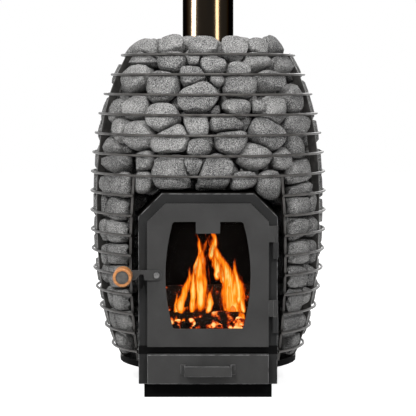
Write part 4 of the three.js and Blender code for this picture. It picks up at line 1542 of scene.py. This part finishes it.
    def build(self, shop: Workshop) -> None:
        """Makes and places the fire."""
        bark = shop.finish(Slot.CHAR)
        embers = CharredBark("coal_embers", 1.5, 0.45).make()
        flames = FlameGlow().make()
        for node, yaw in self.log_yaws:
            shop.place(self.log(node, yaw), f"split_{node}", Slot.CHAR, Body.STOVE, [node], bark)
        shop.place(self.bed(), "coal_bed", Slot.CHAR, Body.STOVE, material=embers)
        for index, flame in enumerate(TONGUES):
            name = f"flame_{index + 1:02d}"
            heart = self.tongue(index, flame, 1.0)
            shop.place(heart, name, Slot.CHAR, Body.STOVE, material=flames, closed=False)
            if flame.depth > self.veiled:
                veil = self.tongue(index + self.veil_seed, self.veil(flame), self.veil_heat)
                shop.place(veil, name + "_veil", Slot.CHAR, Body.STOVE, material=flames, closed=False)

    def veil(self, flame: Tongue) -> Tongue:
        """Wider, cooler leaf that stands behind a flame."""
        rise = flame.tip[1] - flame.base[1]
        tip = (flame.tip[0] + self.veil_aside * flame.width, flame.tip[1] - self.veil_short * rise)
        width, sway = flame.width * self.veil_width, flame.sway * self.veil_sway
        return Tongue(flame.base, tip, width, sway, flame.depth + self.veil_behind)


@dataclass
class Door:
    """Door plate with its window, seal and hinges."""

    roundings: tuple[tuple[str, Slot, float], ...] = (
        ("door_panel", Slot.DOOR, 1.7),
        ("glass_retainer", Slot.INNER, 0.4),
        ("door_seal", Slot.ROPE, 2.6),
        ("hinge_leaf_upper", Slot.DOOR, 0.6),
        ("hinge_leaf_lower", Slot.DOOR, 0.6),
    )
    bead: float = 2.6
    bead_step: float = 3.4
    bead_shape: tuple[float, float, float] = (1.0, 0.7, 0.8)
    door_seam: tuple[float, float] = (0.2, 2.4)
    frame_seam: tuple[float, float] = (-0.5, -0.2)

    def seam(self, node: str, x: float, y: float) -> Shape:
        """Upright row of overlapping weld beads as long as a hinge half."""
        low, high = measured(node)
        shape = bmesh.new()
        height = low.z + 2 * self.bead
        while height < high.z - self.bead:
            matrix = Matrix.Translation((x, y, height)) @ Matrix.Diagonal((*self.bead_shape, 1.0))
            bmesh.ops.create_icosphere(shape, subdivisions=2, radius=self.bead, matrix=matrix)
            height += self.bead_step
        return shape

    def build(self, shop: Workshop) -> None:
        """Dresses the door and welds its hinges on."""
        for node, slot, width in self.roundings:
            shop.dress(node, slot, Body.DOOR, width)
        shop.paint("door_glass", Slot.GLASS)
        face_low, face_high = measured("door_panel")
        door_x, door_y = face_high.x + self.door_seam[0], face_low.y + self.door_seam[1]
        frame_x = measured("hinge_leaf_upper")[1].x + self.frame_seam[0]
        frame_y = measured("front_frame")[0].y + self.frame_seam[1]
        for place in ("upper", "lower"):
            seam = self.seam(f"hinge_leaf_{place}", door_x, door_y)
            shop.place(seam, f"hinge_weld_door_{place}", Slot.DOOR, Body.DOOR)
            seam = self.seam(f"hinge_post_{place}", frame_x, frame_y)
            shop.place(seam, f"hinge_weld_frame_{place}", Slot.BODY, Body.STOVE)


@dataclass
class Latch:
    """Lever, its pivot screw, and the turned wooden knob with its steel disc."""

    lever_edge: float = 0.9
    round_steps: int = 64
    knob_round: float = 3.4
    knob_foot: float = 2.2
    knob_waist: float = 0.25
    rim_points: int = 7
    rim_step: float = 15.0
    seat_depth: float = 1.9
    seat_gap: float = 0.25
    seat_edge: float = 0.5
    cap_edge: tuple[float, float] = (0.5, 0.4)
    cap_fall: tuple[float, float, float] = (0.1, 0.05, 0.02)
    groove: float = 0.5
    groove_radii: tuple[float, float, float, float] = (0.88, 0.86, 0.83, 0.81)
    cap_crown: float = 0.45
    recess_arm: float = 4.1
    recess_half: float = 1.0
    recess_depth: float = 1.9
    recess_taper: float = 0.8
    head_steps: int = 24
    head_flat: float = 0.86
    head_fall: float = 0.25
    head_height: float = 3.5
    head_edge: float = 0.9
    shank: float = 0.52

    @staticmethod
    def extent(node: str) -> tuple[float, float]:
        """Radius and length of a round solid that points to the front."""
        low, high = measured(node)
        return (high.x - low.x) / 2, high.y - low.y

    @staticmethod
    def seated(shape: Shape, node: str) -> Shape:
        """Turns a shape's axis towards the front and sets its foot at its solid's back."""
        low, high = measured(node)
        place = Matrix.Translation(((low.x + high.x) / 2, high.y, (low.z + high.z) / 2))
        turn(shape, place @ Matrix.Rotation(math.pi / 2, 4, "X"))
        return shape

    def rim(self, radius: float, height: float, start: float) -> list[tuple[float, float]]:
        """Quarter round of the knob's profile.

        Args:
            radius: of the knob.
            height: of the round's middle.
            start: degrees at which it starts.

        Returns:
            Radius and height of its corners.
        """
        arc = []
        for step in range(self.rim_points):
            angle = math.radians(start + self.rim_step * step)
            out = radius - self.knob_round + self.knob_round * math.cos(angle)
            arc.append((out, height + self.knob_round * math.sin(angle)))
        return arc

    def knob(self) -> Shape:
        """Turned grip with rounded rims and a seat for the disc."""
        radius, length = self.extent("latch_knob")
        hole = self.extent("knob_cap")[0] + self.seat_gap
        seat = length - self.seat_depth
        profile = [(0.0, 0.0), (radius - self.knob_round * self.knob_foot, 0.0)]
        profile += self.rim(radius, self.knob_round, -90)
        profile.append((radius - self.knob_waist, length * 0.5))
        profile += self.rim(radius, length - self.knob_round, 0)
        profile += [(hole + self.seat_edge, length), (hole, length - self.seat_edge)]
        profile += [(hole, seat), (0.0, seat)]
        return self.seated(spun(profile, self.round_steps), "latch_knob")

    def cap(self) -> Shape:
        """Bare steel disc, slightly domed, with one turned groove near its rim."""
        radius, length = self.extent("knob_cap")
        drop, inset = self.cap_edge
        shoulder, inner, crown = (length - fall for fall in self.cap_fall)
        deep = length - self.groove
        outside, outer_wall, inner_wall, inside = (radius * share for share in self.groove_radii)
        profile = [(0.0, 0.0), (radius, 0.0), (radius, length - drop), (radius - inset, shoulder)]
        profile += [(outside, shoulder), (outer_wall, deep), (inner_wall, deep), (inside, inner)]
        profile += [(radius * self.cap_crown, crown), (0.0, length)]
        return self.seated(spun(profile, self.round_steps), "knob_cap")

    def screw(self) -> Shape:
        """Pivot screw: a domed head with a cross recess, on its shank."""
        radius, length = self.extent("latch_bolt")
        head, rim = length - self.head_height, length - self.head_edge
        arm, half = self.recess_arm, self.recess_half
        shape = bmesh.new()
        outline = [(half, half), (half, arm), (-half, arm), (-half, half), (-arm, half), (-arm, -half)]
        outline += [(-half, -half), (-half, -arm), (half, -arm), (half, -half), (arm, -half), (arm, half)]
        cross = [shape.verts.new((x, y, length)) for x, y in outline]
        inner = [shape.edges.new((a, b)) for a, b in zip(cross, cross[1:] + cross[:1])]
        flat = radius * self.head_flat
        circle = bmesh.ops.create_circle(shape, segments=self.head_steps, radius=flat)["verts"]
        bmesh.ops.translate(shape, vec=(0, 0, length - self.head_fall), verts=circle)
        outer = [edge for edge in shape.edges if edge not in inner]
        bmesh.ops.bridge_loops(shape, edges=inner + outer)
        floor = bmesh.ops.contextual_create(shape, geom=cross)["faces"]
        sunk = bmesh.ops.extrude_face_region(shape, geom=floor)["geom"]
        bmesh.ops.delete(shape, geom=floor, context="FACES_ONLY")
        deep = [item for item in sunk if isinstance(item, bmesh.types.BMVert)]
        bmesh.ops.translate(shape, vec=(0, 0, -self.recess_depth), verts=deep)
        bmesh.ops.scale(shape, vec=(self.recess_taper, self.recess_taper, 1.0), verts=deep)
        neck = radius * self.shank
        rims = [(radius, rim), (radius, head), (neck, head), (neck, 0.0)]
        for reach, height in rims:
            rim_edges = [edge for edge in shape.edges if edge.is_boundary]
            grown = bmesh.ops.extrude_edge_only(shape, edges=rim_edges)["geom"]
            verts = [item for item in grown if isinstance(item, bmesh.types.BMVert)]
            for vert in verts:
                out = Vector((vert.co.x, vert.co.y)).normalized() * reach
                vert.co = (out.x, out.y, height)
        bmesh.ops.holes_fill(shape, edges=[edge for edge in shape.edges if edge.is_boundary], sides=0)
        return self.seated(shape, "latch_bolt")

    def build(self, shop: Workshop) -> None:
        """Makes and places the latch."""
        shop.dress("latch_lever", Slot.DOOR, Body.HANDLE, self.lever_edge)
        shop.place(self.knob(), "latch_knob_turned", Slot.WOOD, Body.HANDLE, ["latch_knob"])
        shop.place(self.cap(), "knob_disc", Slot.CAP, Body.HANDLE, ["knob_cap"])
        shop.place(self.screw(), "pivot_screw", Slot.BRIGHT, Body.DOOR, ["latch_bolt"])


@dataclass
class AshDrawer:
    """Ash pan with its front and bent pull."""

    roundings: tuple[tuple[str, Slot, float], ...] = (
        ("drawer_front", Slot.DOOR, 1.7),
        ("ash_pan", Slot.INNER, 0.5),
        ("drawer_pull", Slot.DOOR, 0.9),
    )

    def build(self, shop: Workshop) -> None:
        """Dresses the drawer."""
        for node, slot, width in self.roundings:
            shop.dress(node, slot, Body.DRAWER, width)


class Lamp(Enum):
    """What a lamp lights: everything, the gloss of polished pieces, or all but gloss."""

    FULL = "full"
    GLOSS = "gloss"
    SOFT = "soft"


@dataclass
class Studio:
    """Camera, floor, backdrop and soft lamps."""

    eye: tuple[float, float, float] = (0.0, -4.1, 0.714)
    pitch: float = 4.31
    lens: float = 149.3
    aim: tuple[float, float, float] = (0.0, 0.0, 0.45)
    sensor: float = 36.0
    floor_radius: float = 9.0
    floor_steps: int = 96
    floor_drop: float = 0.0006
    floor_colour: Colour = (0.5, 0.5, 0.5, 1.0)
    floor_lift: float = 0.84
    lift_reach: tuple[float, float] = (0.6, 2.2)
    white: Colour = (1.0, 1.0, 1.0, 1.0)
    ambient: float = 0.16
    polished: bpy.types.Collection | None = None

    def camera(self) -> None:
        """Sets the camera at the photograph's place."""
        data = bpy.data.cameras.new("front_camera")
        data.lens = self.lens
        data.sensor_width = self.sensor
        camera = bpy.data.objects.new("front_camera", data)
        camera.location = self.eye
        camera.rotation_euler = (math.radians(90 - self.pitch), 0.0, 0.0)
        bpy.context.scene.collection.objects.link(camera)
        bpy.context.scene.camera = camera

    def lamp(
        self, name: str, place: Sequence[float], size: tuple[float, float], power: float,
        colour: Sequence[float] = (1, 1, 1), kind: Lamp = Lamp.FULL, aim: Sequence[float] | None = None,
    ) -> None:
        """One soft lamp, turned towards the stove.

        Args:
            name: the lamp's name.
            place: where it stands.
            size: its width and height.
            power: in watts.
            colour: its tint.
            kind: what it lights.
            aim: where it points, or the stove's middle.
        """
        data = bpy.data.lights.new(name, "AREA")
        data.shape = "RECTANGLE"
        data.size, data.size_y = size
        data.energy = power
        data.color = tuple(colour)
        lamp = bpy.data.objects.new(name, data)
        lamp.location = place
        way = Vector(aim or self.aim) - Vector(place)
        lamp.rotation_euler = way.to_track_quat("-Z", "Y").to_euler()
        lamp.visible_camera = False
        if kind is Lamp.GLOSS:
            lamp.light_linking.receiver_collection = self.polished
        lamp.visible_diffuse = kind is not Lamp.GLOSS
        lamp.visible_glossy = kind is not Lamp.SOFT
        bpy.context.scene.collection.objects.link(lamp)

    def seen(self, board: Board) -> Wire:
        """1 for rays that see the background itself, straight or in metal and glass."""
        rays = [
            board.add("ShaderNodeLightPath", output=name)
            for name in ("Is Camera Ray", "Is Glossy Ray", "Is Transmission Ray")
        ]
        return (rays[0] + rays[1] + rays[2]).step(0.0, 1.0)

    def floor(self) -> None:
        """Pale floor that keeps the stove's shadow."""
        board = Board("pale_floor")
        paint = board.add("ShaderNodeBsdfDiffuse", None, {"Color": self.floor_colour})
        far = board.add("ShaderNodeVectorMath", {"operation": "LENGTH"}, {0: board.spot()}, "Value")
        level = far.step(*self.lift_reach) * (1 - self.floor_lift) + self.floor_lift
        lift = board.add("ShaderNodeEmission", None, {"Color": self.white, "Strength": level})
        both = board.add("ShaderNodeAddShader", None, {0: paint, 1: lift})
        share = self.seen(board)
        surface = board.add("ShaderNodeMixShader", None, {0: share, 1: paint, 2: both})
        board.add("ShaderNodeOutputMaterial", None, {"Surface": surface})
        shape = bmesh.new()
        steps, radius = self.floor_steps, self.floor_radius
        bmesh.ops.create_circle(shape, cap_ends=True, segments=steps, radius=radius)
        bmesh.ops.translate(shape, vec=(0, 0, -self.floor_drop), verts=shape.verts)
        mesh = bpy.data.meshes.new("studio_floor")
        shape.to_mesh(mesh)
        shape.free()
        mesh.materials.append(board.owner)
        floor = bpy.data.objects.new("studio_floor", mesh)
        bpy.context.scene.collection.objects.link(floor)

    def backdrop(self) -> None:
        """White world, with a softer level for the light that it throws."""
        board = Board("studio", world=True)
        bpy.context.scene.world = board.owner
        level = self.seen(board) * (1 - self.ambient) + self.ambient
        light = board.add("ShaderNodeBackground", None, {"Color": self.white, "Strength": level})
        board.add("ShaderNodeOutputWorld", None, {"Surface": light})

    def build(self) -> None:
        """Sets up the studio."""
        self.polished = bpy.data.collections.new("polished_pieces")
        self.camera()
        self.floor()
        self.backdrop()
        self.lamp("key_lamp", (-3.3, -1.5, 2.3), (1.7, 2.4), 38)
        self.lamp("fill_lamp", (2.5, -2.6, 1.8), (1.2, 2.4), 12)
        self.lamp("left_front_lamp", (-1.4, -3.4, 2.5), (0.4, 0.4), 74, kind=Lamp.SOFT)
        self.lamp("right_front_lamp", (1.4, -3.4, 2.5), (0.4, 0.4), 62, kind=Lamp.SOFT)
        self.lamp("top_lamp", (0.0, -1.2, 3.3), (1.5, 0.9), 46)
        self.lamp("back_lamp", (0.6, 3.4, 2.2), (2.6, 2.0), 60)
        flue = (0.0, -0.06, 0.95)
        self.lamp("left_strip", (-2.85, -1.06, 1.2), (1.0, 2.6), 1900, (1.0, 0.97, 0.93), Lamp.GLOSS, flue)
        self.lamp("right_strip", (2.05, -2.2, 1.2), (0.72, 2.6), 760, (1.0, 0.84, 0.58), Lamp.GLOSS, flue)
        bpy.context.scene.view_settings.view_transform = "Standard"


def finishes() -> dict[Slot, Any]:
    """The finish of each of the record's slots."""
    cap_low, cap_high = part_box("knob_cap")
    bolt_low, bolt_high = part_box("latch_bolt")
    return {
        # the second colour of each paint is its paler rounded edges, partly wear and partly a painted
        # highlight
        Slot.DOOR: PaintedSteel("door_steel", grey(0.044, 0.012), grey(0.14), 0.46),
        Slot.BODY: PaintedSteel("body_steel", grey(0.026), grey(0.12), 0.5),
        Slot.BLACK: PaintedSteel("black_steel", grey(0.004), grey(0.014), 0.7, gloss=0.02),
        Slot.INNER: PaintedSteel("inner_steel", grey(0.006, 0.12), grey(0.02), 0.8, peel=0.06, gloss=0.02),
        Slot.CAGE: CageSteel("cage_steel", grey(0.075, 0.05), grey(0.04, 0.06)),
        Slot.BRIGHT: TurnedSteel("bright_steel", tuple((bolt_low + bolt_high) / 2), grey(0.2, 0.01), 0.0016),
        Slot.CAP: TurnedSteel("cap_steel", tuple((cap_low + cap_high) / 2), grey(0.11, 0.06)),
        Slot.FLUE: FlueSteel(),
        Slot.IRON: PaintedSteel("cast_iron", grey(0.016, 0.05), grey(0.05), 0.75, 0.3, 0.7),
        Slot.STONE: SaunaStone(),
        Slot.WOOD: KnobWood(),
        Slot.CHAR: CharredBark("charred_bark", 1.2, 0.54),
        Slot.GLASS: WindowGlass(),
        Slot.ROPE: SealRope(),
    }


def main() -> None:
    """Builds the studio and every sub-assembly in order."""
    logging.basicConfig(level=logging.INFO, format="%(name)s %(message)s")
    studio = Studio()
    studio.build()
    shop = Workshop(finishes(), studio.polished)
    cage = Cage()
    cage.build(shop)
    StoneFill(cage).build(shop)
    Firebox().build(shop)
    Flue().build(shop)
    Fire().build(shop)
    Door().build(shop)
    Latch().build(shop)
    AshDrawer().build(shop)


if __name__ == "__main__":
    main()
